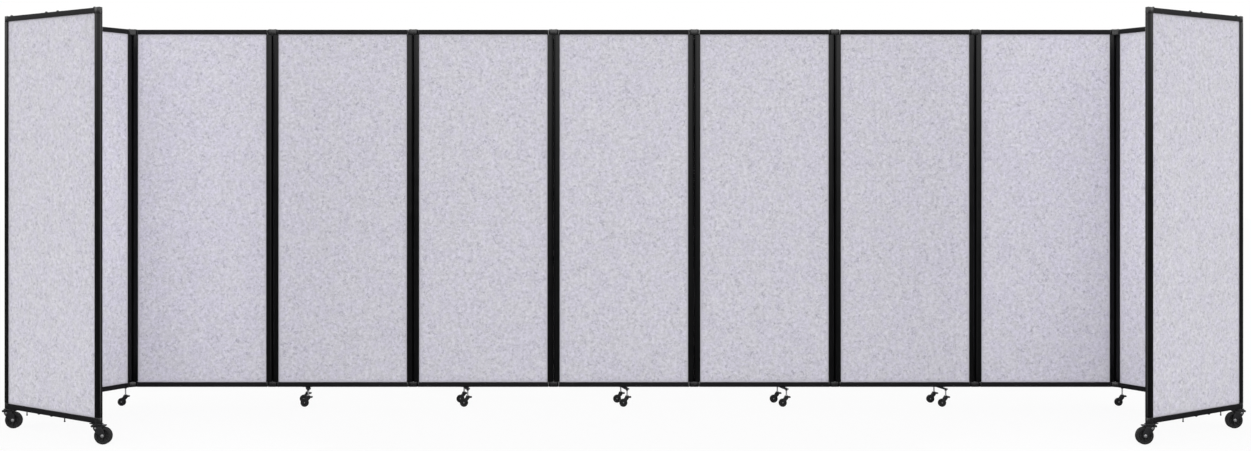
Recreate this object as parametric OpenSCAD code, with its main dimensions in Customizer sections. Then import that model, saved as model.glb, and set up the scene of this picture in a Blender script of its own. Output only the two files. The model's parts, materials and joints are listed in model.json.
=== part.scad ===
// Folding partition: a row of felt boards in slim frames, joined by two-pin links and carried on casters.
// The middle of the row stands straight, and the last two panels at each end are turned to the front.
// Millimetres, +Z up, floor at z = 0, the front of the row faces -Y.

/* [Row] */
// Number of panels, odd, so that one stands in the middle
panel_count = 11; // [9:2:11]
// Distance from the middle of one hinge to the middle of the next
pitch = 840; // [700:10:1000]
// Turn of the row at each corner hinge, in degrees
corner_turn = 59; // [30:0.5:75]
// Further turn at each end hinge, in degrees
end_turn = 87; // [60:0.5:100]

/* [Panel frame] */
// Height of a panel's frame
frame_h = 2134; // [1500:1:2500]
// Gap between the floor and the frame
floor_gap = 108; // [106:1:120]
// Thickness of posts and rails
frame_t = 30; // [28:1:34]
// Width of a post, with its round nose
post_w = 36; // [35:1:44]
// Height of a rail
rail_h = 28; // [26:1:34]
// Wall of the extruded posts and rails
wall = 2; // [1.5:0.1:2.5]
// Thickness of the felt board
board_t = 16; // [12:1:18]

/* [Hinges] */
// Gap between the noses of two posts
nose_gap = 0.6; // [0.4:0.1:1.5]
// Height of a link block
link_h = 30; // [26:1:32]
// How far the top link blocks and end caps stand above the rails
cap_rise = 2; // [1:0.5:4]
// Diameter of a hinge pin
pin_d = 8; // [6:0.5:8]
// Length of a hinge pin below its block
pin_l = 45; // [30:1:80]
// Radial clearance of every pin, stem and axle that turns
play = 0.05; // [0.02:0.01:0.1]

/* [Large casters] */
// Diameter of the wheel
large_d = 90; // [80:1:92]
// Width of the tread
large_w = 26; // [22:1:28]
// Distance that the axle trails behind the kingpin
large_trail = 28; // [26:1:30]
// Distance from a hinge axis or post axis inwards to the kingpin
large_inset = 12; // [8:1:14]

/* [Small casters] */
// Diameter of the wheel
small_d = 48; // [44:1:50]
// Width of the tread
small_w = 13; // [11:1:14]
// Distance that the axle trails behind the stem
small_trail = 22; // [18:1:24]
// How far the two casters of a pair stand in front of and behind the row
pair_reach = 72; // [60:1:80]
// How far the front caster of a pair stands to the right of the pair's middle
pair_shift = 19; // [10:1:24]
// Step by which the pairs move outwards from one panel to the next
pair_step = 105; // [100:1:110]
// Distance from the corner hinge's axis to the single caster's stem
single_inset = 30; // [30:1:40]

/* [Hidden] */
hair = 0.03;                              // hairline between pieces that are fitted or screwed together
seam = 0.2;                               // running gap between faces that slide on each other
nose_r = frame_t / 2;
post_reach = post_w - nose_r;             // from the hinge axis to the post's inner face
axis_gap = frame_t + nose_gap;            // between the two axes of one hinge
span = pitch - axis_gap;                  // between the two axes of one panel
mid = (panel_count + 1) / 2;
frame_top = floor_gap + frame_h;
lobe_r = nose_r - 0.5;                    // round end of a link block
cut_x = nose_r + 0.5;                     // a corner casting starts here, beside the link block
groove_depth = post_reach - cut_x;        // how far the board sits in posts and rails
hollow_low = rail_h - groove_depth - wall; // depth of a rail's hollow, from its outer face
flange_t = 1;                             // bush flange that carries the link block
notch_h = link_h + seam + flange_t;       // from the frame's outer face to a post's end
pin_r = pin_d / 2;
bush_r = 5.5;                             // outside of a bush
bush_flange_r = 7.5;
bush_l = 24;
tube_r = 8;                               // tube inside the nose that holds the bushes
web_t = 2.4;                              // webs that hold that tube
edge_r = 2.5;                             // rounded long edges of the rails
plug_l = 25;                              // part of a corner casting inside the rail
screw_r = 2;
screw_head_r = 4;
screw_head_h = 1;
plate_screw_l = 14;
corner_screw_r = 1.5;
corner_screw_head_r = 2.6;
corner_screw_l = 45;
corner_screw_v = 11.5;                    // corner screws, from the panel's middle plane
head_r = 6;                               // domed head of a hinge pin
head_h = 2.5;

plate_drop = 1;                           // pad that keeps plates clear of the other panels' rails
plate_t = 4;
plate_top = floor_gap - plate_drop;
plate_low = plate_top - plate_t;
large_plate_l = 66;
large_plate_w = 42;
large_plate_end = 20;                     // plate beyond the kingpin, towards the panel's end
large_screws = [40, 52];                  // plate screws, from the panel's axis
race_r = 21;
race_h = 3;
kingpin_r = 5;
kingpin_collar_r = 8;
kingpin_collar_h = 2;
large_r = large_d / 2;
axle_r = 4;
crown_low = large_d + 2.5;                // underside of the fork's crown
crown_top = plate_low - race_h - seam;
crown_t = 6;
crown_front = 20;
crown_back = 36;
leg_t = 3;
leg_y = large_w / 2 + 2;                  // inner face of a leg
axle_eye_r = 12;                          // round end of a leg
tail_r = 4;                               // rolled edge at the back of the crown
large_tyre_t = 8;
large_hub_r = 10;
pedal_x = -8;
pedal_z = 84;
pedal_w = 22;
pedal_hub_r = 6;
pedal_pin_r = 3;
pedal_arm = 22;                           // from the pedal's pin to the middle of its tip
pedal_rise = 153;                         // direction of the arm, 180 being level
pedal_tip_r = 6.5;
shoe_reach = 9;                           // from the pedal's pin to the end of its brake shoe
shoe_r = 2.5;
shoe_angle = -99;                         // direction of the shoe with the pedal up

small_r = small_d / 2;
small_axle_r = 2.5;
small_tyre_t = 4;
small_leg_t = 2;
small_leg_y = small_w / 2 + 1;
small_eye_r = 9;
hood_low = small_d + 3;
hood_top = small_d + 18;
hood_r = 12;
hood_step = 3;                            // round shoulder on top of the hood
stem_r = 4;
stem_seat = plate_top - 1;                // end of a stem's bore
socket_r = 7;
socket_h = 7;
toe_reach = 20;
toe_r = 5;
bar_w = 28;
bar_screw = 9;                            // bar screws, from the bar's middle

stud_r = 3;
stud_l = 24;
stud_tip_r = 4.5;
button_r = 7.5;
button_h = 7;
top_button_inset = 40;                    // outer buttons on top, from the panel's axes
top_button_pair = 50;                     // inner buttons on top, either side of the middle
stud_at = [180, 515];                     // studs below, from the hinge end
low_button_at = [288, 400];               // buttons below, from the hinge end

black = [0.085, 0.085, 0.095];
soft_black = [0.13, 0.13, 0.14];
cast_grey = [0.26, 0.26, 0.28];
steel = [0.6, 0.6, 0.62];
felt = [0.79, 0.785, 0.825];
rubber = [0.16, 0.16, 0.17];

// The row's plan, worked outwards from the middle panel
function fold(k) = (k == 1 || k == panel_count - 1) ? -end_turn
                 : (k == 2 || k == panel_count - 2) ? -corner_turn : 0;
function heading(i) = i == mid ? 0
                    : i > mid ? heading(i - 1) + fold(i - 1) : heading(i + 1) - fold(i);
function way(a) = [cos(a), sin(a)];
function left_axis(i) = i == mid ? [-span / 2, 0]
    : i > mid ? right_axis(i - 1) + axis_gap * way(heading(i - 1) + fold(i - 1) / 2)
    : right_axis(i) - span * way(heading(i));
function right_axis(i) = i >= mid ? left_axis(i) + span * way(heading(i))
    : left_axis(i + 1) - axis_gap * way(heading(i) + fold(i) / 2);
function link_heading(k) = heading(k) + fold(k) / 2;

// The origin lies under the middle of the plan's box
front_reach = large_plate_w / 2 - left_axis(1).y;
back_reach = pair_reach + bar_w / 2;
row_y = (front_reach - back_reach) / 2;

function number(i) = i < 10 ? str("0", i) : str(i);
panels = [for (i = [1:panel_count]) i];
links = [for (k = [1:panel_count - 1]) k];
pair_panels = [for (i = [mid - 2:mid + 2]) i];
pair_sides = ["front", "back"];
end_panels = [1, panel_count];
single_panels = [2, panel_count - 1];
end_places = ["hinge", "free"];
large_parts = ["fork", "wheel", "pedal"];

function frame_name(i) = str("panel_", number(i), "_frame");
function board_name(i) = str("panel_", number(i), "_felt_board");
function link_name(k) = str("hinge_", number(k), "_link");
function large_name(i, place, part) = str("panel_", number(i), "_", place, "_caster_", part);
function small_name(i, side) = str("panel_", number(i), "_", side, "_caster");
function studs_name(i) = str("panel_", number(i), "_rail_studs");

$fn = 48;

// ---------------------------------------------------------------- places

// Puts children in a panel's own frame: u from its left axis along +X, its middle plane on y = 0
module at_panel(i) {
    translate([left_axis(i).x, left_axis(i).y + row_y, 0]) rotate([0, 0, heading(i)]) children();
}

// Repeats children at both ends of a panel, with +X pointing inwards
module at_both_ends() {
    children();
    translate([span, 0, 0]) mirror([1, 0, 0]) children();
}

// Repeats children at the top and the bottom of a frame, with +Z pointing out of it
module at_top_and_bottom() {
    translate([0, 0, frame_top]) children();
    translate([0, 0, floor_gap]) mirror([0, 0, 1]) children();
}

// Puts children at one end of an end panel, with +X pointing inwards
module at_end(i, place) {
    at_left = (i == 1) == (place == "free");
    if (at_left) children();
    else translate([span, 0, 0]) mirror([1, 0, 0]) children();
}

function end_u(i, place, inset) = (i == 1) == (place == "free") ? inset : span - inset;

// Puts children at a point of a panel with the world's axes, turned by a yaw
module at_stem(i, u, v, yaw) {
    p = left_axis(i) + u * way(heading(i)) + v * way(heading(i) + 90);
    translate([p.x, p.y + row_y, 0]) rotate([0, 0, yaw]) children();
}

function pair_u(i) = span / 2 + (i - mid) * pair_step;
function single_u(i) = i == 2 ? span - single_inset : single_inset;
function large_yaw(i) = i == 1 ? 0 : 180;
small_yaw = 180;
function holds_pair(i) = len(search(i, pair_panels)) > 0;
function holds_single(i) = len(search(i, single_panels)) > 0;
function is_end(i) = len(search(i, end_panels)) > 0;

// Cylinder along Y, centred on y = 0
module cross_cylinder(r, l) {
    rotate([90, 0, 0]) cylinder(r = r, h = l, center = true);
}

// Low dome with its flat side on z = 0
module dome(r, h) {
    rotate_extrude() intersection() {
        translate([0, h - 2 * r]) circle(2 * r);
        square([r, h]);
    }
}

// ---------------------------------------------------------------- frame

// Cross-section of a post: a round nose on the hinge axis, and a body as far as the inner face
module post_outline(reach) {
    circle(nose_r);
    translate([0, -nose_r]) square([reach, frame_t]);
}

// The hollow of a post, split by the tube on the hinge axis and by its webs
module post_hollow() {
    difference() {
        union() {
            circle(nose_r - wall);
            translate([0, wall - nose_r]) square([cut_x - wall, frame_t - 2 * wall]);
        }
        circle(tube_r);
        translate([-nose_r, -web_t / 2]) square([nose_r + cut_x, web_t]);
    }
}

module post() {
    difference() {
        translate([0, 0, floor_gap + notch_h]) linear_extrude(frame_h - 2 * notch_h) difference() {
            post_outline(post_reach);
            post_hollow();
            circle(bush_r + hair);
            translate([cut_x, -board_t / 2]) square([groove_depth + 1, board_t]);
        }
        at_top_and_bottom() corner_screws(hair);
    }
}

// Cross-section of a rail, with x across the panel and y up towards its outer edge at y = 0
module rail_section() {
    difference() {
        union() {
            translate([-nose_r, -rail_h]) square([frame_t, rail_h - edge_r]);
            translate([-nose_r + edge_r, -rail_h]) square([frame_t - 2 * edge_r, rail_h]);
            for (side = [-1, 1]) translate([side * (nose_r - edge_r), -edge_r]) circle(edge_r);
        }
        translate([-board_t / 2, -rail_h - 1]) square([board_t, groove_depth + 1]);
        translate([wall - nose_r, -hollow_low]) square([frame_t - 2 * wall, hollow_low - wall]);
    }
}

module rail() {
    translate([post_reach + hair, 0, 0]) rotate([90, 0, 90])
        linear_extrude(span - 2 * (post_reach + hair)) rail_section();
}

// Cast corner that joins a post to a rail: it stands on the post's lips and has a plug in the rail
module corner_casting() {
    plug_w = frame_t - 2 * (wall + hair);
    plug_h = hollow_low - wall - 2 * hair;
    difference() {
        union() {
            translate([cut_x + hair, -nose_r, hair - notch_h])
                cube([groove_depth - hair, frame_t, notch_h - hair]);
            translate([post_reach - 1, -plug_w / 2, hair - hollow_low]) cube([plug_l + 1, plug_w, plug_h]);
        }
        translate([cut_x - 1, -board_t / 2, -notch_h - 1])
            cube([groove_depth + 2, board_t, notch_h + 1 - hollow_low - wall]);
        corner_screws(hair);
    }
}

// Countersunk screws through a corner casting into the lips of the post
module corner_screws(grow) {
    u = (cut_x + post_reach) / 2;
    for (side = [-1, 1]) translate([u, side * corner_screw_v, 0]) {
        translate([0, 0, -corner_screw_l - grow]) cylinder(r = corner_screw_r + grow, h = corner_screw_l);
        translate([0, 0, -screw_head_h - grow])
            cylinder(r = corner_screw_head_r + grow, h = screw_head_h + 2 * grow);
    }
}

// Nylon bush with a flange, one in each end of a post's tube
module bush() {
    translate([0, 0, hair - notch_h]) difference() {
        union() {
            translate([0, 0, -bush_l]) cylinder(r = bush_r, h = bush_l);
            cylinder(r = bush_flange_r, h = flange_t - hair);
        }
        translate([0, 0, -bush_l - 1]) cylinder(r = pin_r + play, h = bush_l + flange_t + 1);
    }
}

// Hinge pin through a link block or an end cap of a given rise, down into the bush
module hinge_pin(rise) {
    translate([0, 0, -link_h - pin_l]) cylinder(r = pin_r, h = pin_l + link_h + rise);
    if (rise > 0) translate([0, 0, rise]) dome(head_r, head_h);
}

// Cap on a post that has no neighbour
module end_cap(rise) {
    difference() {
        translate([0, 0, -link_h]) linear_extrude(link_h + rise) post_outline(cut_x);
        translate([0, 0, -link_h - 1]) cylinder(r = pin_r + hair, h = link_h + rise + 2);
    }
    translate([0, 0, rise > 0 ? hair : 0]) hinge_pin(rise);
}

// Screws from below through a plate of a caster mount into the rail
module plate_screws(places, grow) {
    for (x = places) translate([x, 0, 0]) {
        translate([0, 0, plate_low - screw_head_h - hair]) cylinder(r = screw_head_r, h = screw_head_h);
        translate([0, 0, plate_low - screw_head_h]) cylinder(r = screw_r + grow, h = plate_screw_l + grow);
    }
}

// Plate with its upper race, spacer pad, kingpin and screws for a large caster, +X pointing inwards
module large_mount() {
    pad_end = large_inset + large_plate_l - large_plate_end;
    race_low = plate_low - race_h;
    difference() {
        union() {
            translate([large_inset - large_plate_end, -large_plate_w / 2, plate_low])
                cube([large_plate_l, large_plate_w, plate_t - hair]);
            translate([large_inset, 0, race_low]) cylinder(r = race_r, h = race_h + 1);
        }
        plate_screws(large_screws, hair);
        translate([large_inset, 0, race_low - 1]) cylinder(r = kingpin_r + hair, h = race_h + plate_t + 2);
    }
    difference() {
        translate([post_reach, -board_t / 2, plate_top])
            cube([pad_end - post_reach, board_t, plate_drop - hair]);
        plate_screws(large_screws, hair);
    }
    plate_screws(large_screws, 0);
    translate([large_inset, 0, crown_low - seam - kingpin_collar_h]) {
        cylinder(r = kingpin_r, h = plate_top - crown_low + seam + kingpin_collar_h - hair);
        cylinder(r = kingpin_collar_r, h = kingpin_collar_h);
    }
}

bar_turn = atan2(-pair_reach, pair_shift);
bar_half = norm([pair_shift, pair_reach]);

// Cross bar under a rail, with a spacer pad, screws and a socket at each end for a small caster
module pair_bar() {
    rotate([0, 0, bar_turn]) {
        difference() {
            union() {
                translate([0, 0, plate_low]) linear_extrude(plate_t - hair) {
                    translate([-bar_half, -bar_w / 2]) square([2 * bar_half, bar_w]);
                    for (side = [-1, 1]) translate([side * bar_half, 0]) circle(bar_w / 2);
                }
                for (side = [-1, 1]) translate([side * bar_half, 0, plate_low - socket_h])
                    cylinder(r = socket_r, h = socket_h + 1);
            }
            for (side = [-1, 1]) translate([side * bar_half, 0, 0]) stem_bore();
            plate_screws([-bar_screw, bar_screw], hair);
        }
        plate_screws([-bar_screw, bar_screw], 0);
    }
    difference() {
        translate([-bar_w, -board_t / 2 - 4, plate_top]) cube([2 * bar_w, board_t + 8, plate_drop - hair]);
        rotate([0, 0, bar_turn]) plate_screws([-bar_screw, bar_screw], hair);
    }
}

// Blind bore for a small caster's stem
module stem_bore() {
    cylinder(r = stem_r + play, h = stem_seat);
}

// Socket for a single caster's stem: it fills a hole in a rail as far as the rail's ceiling
module single_socket() {
    difference() {
        translate([0, 0, plate_low]) cylinder(r = socket_r, h = floor_gap + hollow_low - hair - plate_low);
        stem_bore();
    }
}

// What the bottom rail and its corner castings leave free for the caster mounts
module rail_holes(i) {
    if (holds_single(i)) translate([single_u(i), 0, 0])
        cylinder(r = socket_r + hair, h = floor_gap + hollow_low);
    if (holds_pair(i)) translate([pair_u(i), 0, 0]) rotate([0, 0, bar_turn])
        plate_screws([-bar_screw, bar_screw], hair);
    if (is_end(i)) for (place = end_places) at_end(i, place) plate_screws(large_screws, hair);
}

// Frame of one panel with everything that is fixed to it
module panel_frame(i) {
    color(black) at_panel(i) {
        at_both_ends() post();
        difference() {
            at_top_and_bottom() rail();
            rail_holes(i);
        }
    }
    color(cast_grey) at_panel(i) {
        difference() {
            at_both_ends() at_top_and_bottom() corner_casting();
            rail_holes(i);
        }
        at_both_ends() at_top_and_bottom() {
            corner_screws(0);
            bush();
        }
    }
    color(soft_black) at_panel(i) {
        if (holds_single(i)) translate([single_u(i), 0, 0]) single_socket();
        if (holds_pair(i)) translate([pair_u(i), 0, 0]) pair_bar();
        if (is_end(i)) {
            for (place = end_places) at_end(i, place) large_mount();
            at_end(i, "free") {
                translate([0, 0, frame_top]) end_cap(cap_rise);
                translate([0, 0, floor_gap]) mirror([0, 0, 1]) end_cap(0);
            }
        }
    }
}

// Pressed felt board that fills a frame and sits in the grooves of its posts and rails
module felt_board(i) {
    inset_z = rail_h - groove_depth;
    color(felt) at_panel(i)
        translate([cut_x, -board_t / 2, floor_gap + inset_z])
            cube([span - 2 * cut_x, board_t, frame_h - 2 * inset_z]);
}

// ---------------------------------------------------------------- hinges

// Link block with its two pins, drawn with its first axis on the origin and its second along +X
module link_block(rise) {
    difference() {
        translate([0, 0, -link_h]) linear_extrude(link_h + rise) {
            translate([0, -lobe_r]) square([axis_gap, 2 * lobe_r]);
            for (x = [0, axis_gap]) translate([x, 0]) circle(lobe_r);
        }
        for (x = [0, axis_gap]) translate([x, 0, -link_h - 1])
            cylinder(r = pin_r + hair, h = link_h + rise + 2);
    }
    for (x = [0, axis_gap]) translate([x, 0, rise > 0 ? hair : 0]) hinge_pin(rise);
}

module hinge_link(k) {
    start = right_axis(k);
    color(cast_grey) translate([start.x, start.y + row_y, 0]) rotate([0, 0, link_heading(k)]) {
        translate([0, 0, frame_top]) link_block(cap_rise);
        translate([0, 0, floor_gap]) mirror([0, 0, 1]) link_block(0);
    }
}

// ---------------------------------------------------------------- wheels

// Tyre with rounded shoulders, its axle along Z
module tyre(outer_r, inner_r, width) {
    shoulder = (outer_r - inner_r) / 2;
    rotate_extrude() {
        translate([inner_r, -width / 2]) square([outer_r - shoulder - inner_r, width]);
        translate([inner_r, shoulder - width / 2]) square([outer_r - inner_r, width - 2 * shoulder]);
        for (side = [-1, 1]) translate([outer_r - shoulder, side * (width / 2 - shoulder)]) circle(shoulder);
    }
}

// Wheel core with a hub, a web and a rim, its axle along Z
module wheel_core(rim_r, rim_t, width, web, hub_r, hub_l, bore_r) {
    rotate_extrude() {
        translate([bore_r, -hub_l / 2]) square([hub_r - bore_r, hub_l]);
        translate([hub_r - 1, -web / 2]) square([rim_r - rim_t - hub_r + 2, web]);
        translate([rim_r - rim_t, -width / 2]) square([rim_t, width]);
    }
}

// ---------------------------------------------------------------- large casters

// Side plate of the fork in x and z: it runs from the crown back to the axle
module leg_outline() {
    polygon([
        [-crown_front, crown_top], [-crown_front, crown_top - 14],
        [large_trail - axle_eye_r * 0.8, large_r - axle_eye_r * 0.6],
        [large_trail, large_r],
        [large_trail + axle_eye_r * 0.98, large_r + axle_eye_r * 0.2],
        [crown_front + 4, crown_top - 12], [crown_front + 4, crown_top]]);
    translate([large_trail, large_r]) circle(axle_eye_r);
}

// Bolt across both legs, with a six-sided head and nut
module leg_bolt(x, z, r, hex_r) {
    reach = leg_y + leg_t + hair;
    hex_h = hex_r / 2;
    translate([x, 0, z]) {
        cross_cylinder(r, 2 * reach);
        for (side = [-1, 1]) translate([0, side * (reach + hex_h / 2), 0])
            rotate([90, 0, 0]) cylinder(r = hex_r, h = hex_h, center = true, $fn = 6);
    }
}

module large_fork() {
    reach = leg_y + leg_t;
    difference() {
        union() {
            for (side = [-1, 1]) translate([0, side * (leg_y + leg_t / 2) + leg_t / 2, 0])
                rotate([90, 0, 0]) linear_extrude(leg_t) leg_outline();
            translate([-crown_front, -reach, crown_top - crown_t])
                cube([crown_front + crown_back, 2 * reach, crown_t]);
            translate([0, 0, crown_low]) cylinder(r = leg_y, h = crown_top - crown_low);
            translate([crown_back, 0, crown_top - tail_r]) cross_cylinder(tail_r, 2 * reach);
        }
        translate([0, 0, crown_low - 1]) cylinder(r = kingpin_r + play, h = crown_top - crown_low + 2);
        translate([large_trail, 0, large_r]) cross_cylinder(axle_r + hair, 2 * reach + 2);
        translate([pedal_x, 0, pedal_z]) cross_cylinder(pedal_pin_r + hair, 2 * reach + 2);
    }
    leg_bolt(large_trail, large_r, axle_r, 7);
    leg_bolt(pedal_x, pedal_z, pedal_pin_r, 4.5);
}

module large_wheel() {
    core_r = large_r - large_tyre_t;
    translate([large_trail, 0, large_r]) rotate([90, 0, 0]) {
        tyre(large_r, core_r, large_w);
        wheel_core(core_r - hair, 5, large_w - 2, 5, large_hub_r, 2 * (leg_y - seam), axle_r + play);
    }
}

// Brake pedal: a hub on its pin, an arm to a rounded tip, and a shoe that swings onto the tread
module brake_pedal() {
    arm_t = 5;
    translate([pedal_x, 0, pedal_z]) difference() {
        rotate([90, 0, 0]) linear_extrude(pedal_w, center = true) {
            circle(pedal_hub_r);
            rotate(pedal_rise) {
                translate([0, -arm_t / 2]) square([pedal_arm, arm_t]);
                translate([pedal_arm, 0]) circle(pedal_tip_r);
            }
            rotate(shoe_angle) {
                translate([0, -shoe_r]) square([shoe_reach - shoe_r, 2 * shoe_r]);
                translate([shoe_reach - shoe_r, 0]) circle(shoe_r);
            }
        }
        cross_cylinder(pedal_pin_r + play, pedal_w + 2);
    }
}

// One part of one large caster
module large_caster(i, place, part) {
    at_stem(i, end_u(i, place, large_inset), 0, large_yaw(i)) {
        if (part == "fork") color(soft_black) large_fork();
        if (part == "wheel") color(rubber) large_wheel();
        if (part == "pedal") color(black) brake_pedal();
    }
}

// ---------------------------------------------------------------- small casters

module small_leg_outline() {
    polygon([
        [-hood_r * 0.8, hood_top - hood_step], [-hood_r * 0.8, hood_low - 3],
        [small_trail - small_eye_r * 0.8, small_r - small_eye_r * 0.6],
        [small_trail, small_r],
        [small_trail + small_eye_r * 0.98, small_r + small_eye_r * 0.2],
        [hood_r + 3, hood_low + 3], [hood_r * 0.6, hood_top - hood_step]]);
    translate([small_trail, small_r]) circle(small_eye_r);
}

// Hooded fork with a toe on its leading side
module small_fork() {
    toe_z = hood_top - 3 - toe_r;
    difference() {
        union() {
            for (side = [-1, 1]) translate([0, side * (small_leg_y + small_leg_t / 2) + small_leg_t / 2, 0])
                rotate([90, 0, 0]) linear_extrude(small_leg_t) small_leg_outline();
            translate([0, 0, hood_low]) cylinder(r = hood_r, h = hood_top - hood_step - hood_low);
            translate([0, 0, hood_low]) cylinder(r = hood_r - hood_step, h = hood_top - hood_low);
            translate([-toe_reach, -small_leg_y, toe_z - toe_r])
                cube([toe_reach, 2 * small_leg_y, 2 * toe_r]);
            translate([-toe_reach, 0, toe_z]) cross_cylinder(toe_r, 2 * small_leg_y);
        }
        translate([small_trail, 0, small_r]) cross_cylinder(small_axle_r + hair, 4 * small_leg_y);
        translate([0, 0, hood_low - 1]) cylinder(r = stem_r + hair, h = hood_top);
    }
}

// Small caster: the fork, a stem pressed into its hood, and the wheel on its axle
module small_caster_parts() {
    core_r = small_r - small_tyre_t;
    small_fork();
    translate([0, 0, hood_low]) cylinder(r = stem_r, h = stem_seat - seam - hood_low);
    translate([small_trail, 0, small_r]) {
        cross_cylinder(small_axle_r, 2 * (small_leg_y + small_leg_t) + 1);
        rotate([90, 0, 0]) {
            tyre(small_r, core_r, small_w);
            wheel_core(core_r - hair, 2, small_w - 2, 4, 6, 2 * (small_leg_y - seam), small_axle_r + play);
        }
    }
}

module small_caster(i, side) {
    reach = side == "front" ? 1 : -1;
    u = side == "single" ? single_u(i) : pair_u(i) + reach * pair_shift;
    v = side == "single" ? 0 : -reach * pair_reach;
    color(soft_black) at_stem(i, u, v, small_yaw) small_caster_parts();
}

// ---------------------------------------------------------------- end panel fittings

// Domed buttons on the top rail, and studs and buttons under the bottom rail of an end panel
module rail_studs(i) {
    color(steel) at_panel(i) at_end(i, "hinge") {
        for (inset = [top_button_inset, span / 2 - top_button_pair])
            for (u = [inset, span - inset]) translate([u, 0, frame_top]) dome(button_r, button_h);
        translate([0, 0, floor_gap]) mirror([0, 0, 1]) {
            for (u = low_button_at) translate([u, 0, 0]) dome(button_r, button_h);
            for (u = stud_at) translate([u, 0, 0]) {
                cylinder(r = stud_r, h = stud_l);
                translate([0, 0, stud_l - 2 * stud_tip_r]) cylinder(r = stud_tip_r, h = 2 * stud_tip_r);
            }
        }
    }
}

// ---------------------------------------------------------------- nodes

for (i = panels) panel_frame(i);
for (i = panels) felt_board(i);
for (k = links) hinge_link(k);
for (i = end_panels, place = end_places, part = large_parts)
    large_caster(i, place, part);
for (i = pair_panels, side = pair_sides)
    small_caster(i, side);
for (i = single_panels) small_caster(i, "single");
for (i = end_panels) rail_studs(i);
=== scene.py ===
"""Looks of a folding felt partition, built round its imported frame.

Every piece is drawn in metres in its own simple frame, such as a panel's or a caster's, and is then placed
in the row. The sizes are driving dimensions of the real thing, and the row's place comes from the frame.
"""

from __future__ import annotations

import json
import logging
import math
from dataclasses import dataclass, field
from enum import Enum

import bmesh
import bpy
from mathutils import Matrix, Vector, noise


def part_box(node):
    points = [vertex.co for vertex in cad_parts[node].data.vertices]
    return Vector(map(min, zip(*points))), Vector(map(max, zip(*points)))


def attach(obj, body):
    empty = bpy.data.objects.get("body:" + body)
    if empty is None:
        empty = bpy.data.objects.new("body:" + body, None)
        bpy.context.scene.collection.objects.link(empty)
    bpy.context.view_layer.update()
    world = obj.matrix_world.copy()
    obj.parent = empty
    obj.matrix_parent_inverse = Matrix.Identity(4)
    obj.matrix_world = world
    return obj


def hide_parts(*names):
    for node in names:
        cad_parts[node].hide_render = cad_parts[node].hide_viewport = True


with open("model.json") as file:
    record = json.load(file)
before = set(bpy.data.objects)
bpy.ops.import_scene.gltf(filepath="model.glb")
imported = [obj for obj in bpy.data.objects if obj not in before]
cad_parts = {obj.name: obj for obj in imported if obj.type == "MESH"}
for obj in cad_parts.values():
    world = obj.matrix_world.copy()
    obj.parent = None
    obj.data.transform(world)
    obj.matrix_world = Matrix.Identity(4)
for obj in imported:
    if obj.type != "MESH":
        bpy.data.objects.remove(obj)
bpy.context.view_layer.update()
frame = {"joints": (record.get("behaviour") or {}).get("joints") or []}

log = logging.getLogger("partition")

Colour = tuple[float, float, float]
Outline = list[tuple[float, float]]

# Turns an outline drawn in X and Y into one in Y and Z, with its length along X.
ALONG_X = Matrix(((0, 0, 1, 0), (1, 0, 0, 0), (0, 1, 0, 0), (0, 0, 0, 1)))
# Turns an outline drawn in X and Y into one in X and Z, with its length or its axis along -Y.
ALONG_Y = Matrix(((1, 0, 0, 0), (0, 0, -1, 0), (0, 1, 0, 0), (0, 0, 0, 1)))
# Turns what is drawn pointing up so that it points down.
FLIPPED = Matrix.Diagonal((1, 1, -1, 1))
# Turns what is drawn from a left end so that it fits a right end.
MIRRORED = Matrix.Diagonal((-1, 1, 1, 1))
# The two sides of a fork or a bolt.
BOTH_SIDES = (Matrix.Identity(4), Matrix.Rotation(math.radians(180), 4, "Z"))


# ---------------- sizes


class Place(Enum):
    """Where a large caster stands on an end panel."""

    HINGE = "hinge"
    FREE = "free"


class Side(Enum):
    """Where a small caster stands on a panel."""

    FRONT = "front"
    BACK = "back"
    SINGLE = "single"


@dataclass(frozen=True)
class RowSize:
    """Driving dimensions of the row's plan, in metres and degrees."""

    panels: int = 11
    pitch: float = 0.840
    corner_turn: float = 59.0
    end_turn: float = 87.0


@dataclass(frozen=True)
class PanelSize:
    """Driving dimensions of one panel, in metres."""

    height: float = 2.134
    floor_gap: float = 0.108
    thickness: float = 0.030
    post_width: float = 0.036
    rail_height: float = 0.028
    board_thickness: float = 0.016
    groove_depth: float = 0.0055
    chamfer: float = 0.0012
    rail_edge: float = 0.0025
    hair: float = 0.00003

    @property
    def half(self) -> float:
        """Half the frame's thickness, which is also the nose's radius."""
        return self.thickness / 2

    @property
    def reach(self) -> float:
        """From the hinge axis to the post's inner face."""
        return self.post_width - self.half

    @property
    def cut(self) -> float:
        """From the hinge axis to the corner casting."""
        return self.reach - self.groove_depth

    @property
    def top(self) -> float:
        """Height of the frame's top above the floor."""
        return self.floor_gap + self.height

    @property
    def levels(self) -> tuple[Matrix, Matrix]:
        """Places at the frame's top and bottom, with +Z pointing out of it."""
        lower = Matrix.Translation((0, 0, self.floor_gap)) @ FLIPPED
        return Matrix.Translation((0, 0, self.top)), lower


@dataclass(frozen=True)
class HingeSize:
    """Driving dimensions of a hinge, in metres."""

    nose_gap: float = 0.0006
    block_height: float = 0.030
    rise: float = 0.002
    flange: float = 0.0012
    lobe: float = 0.0145
    head_radius: float = 0.006
    head_height: float = 0.0025
    pin: float = 0.004
    pin_reach: float = 0.045
    bore: float = 0.0041
    bush: float = 0.0075


# ---------------- plan


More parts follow.
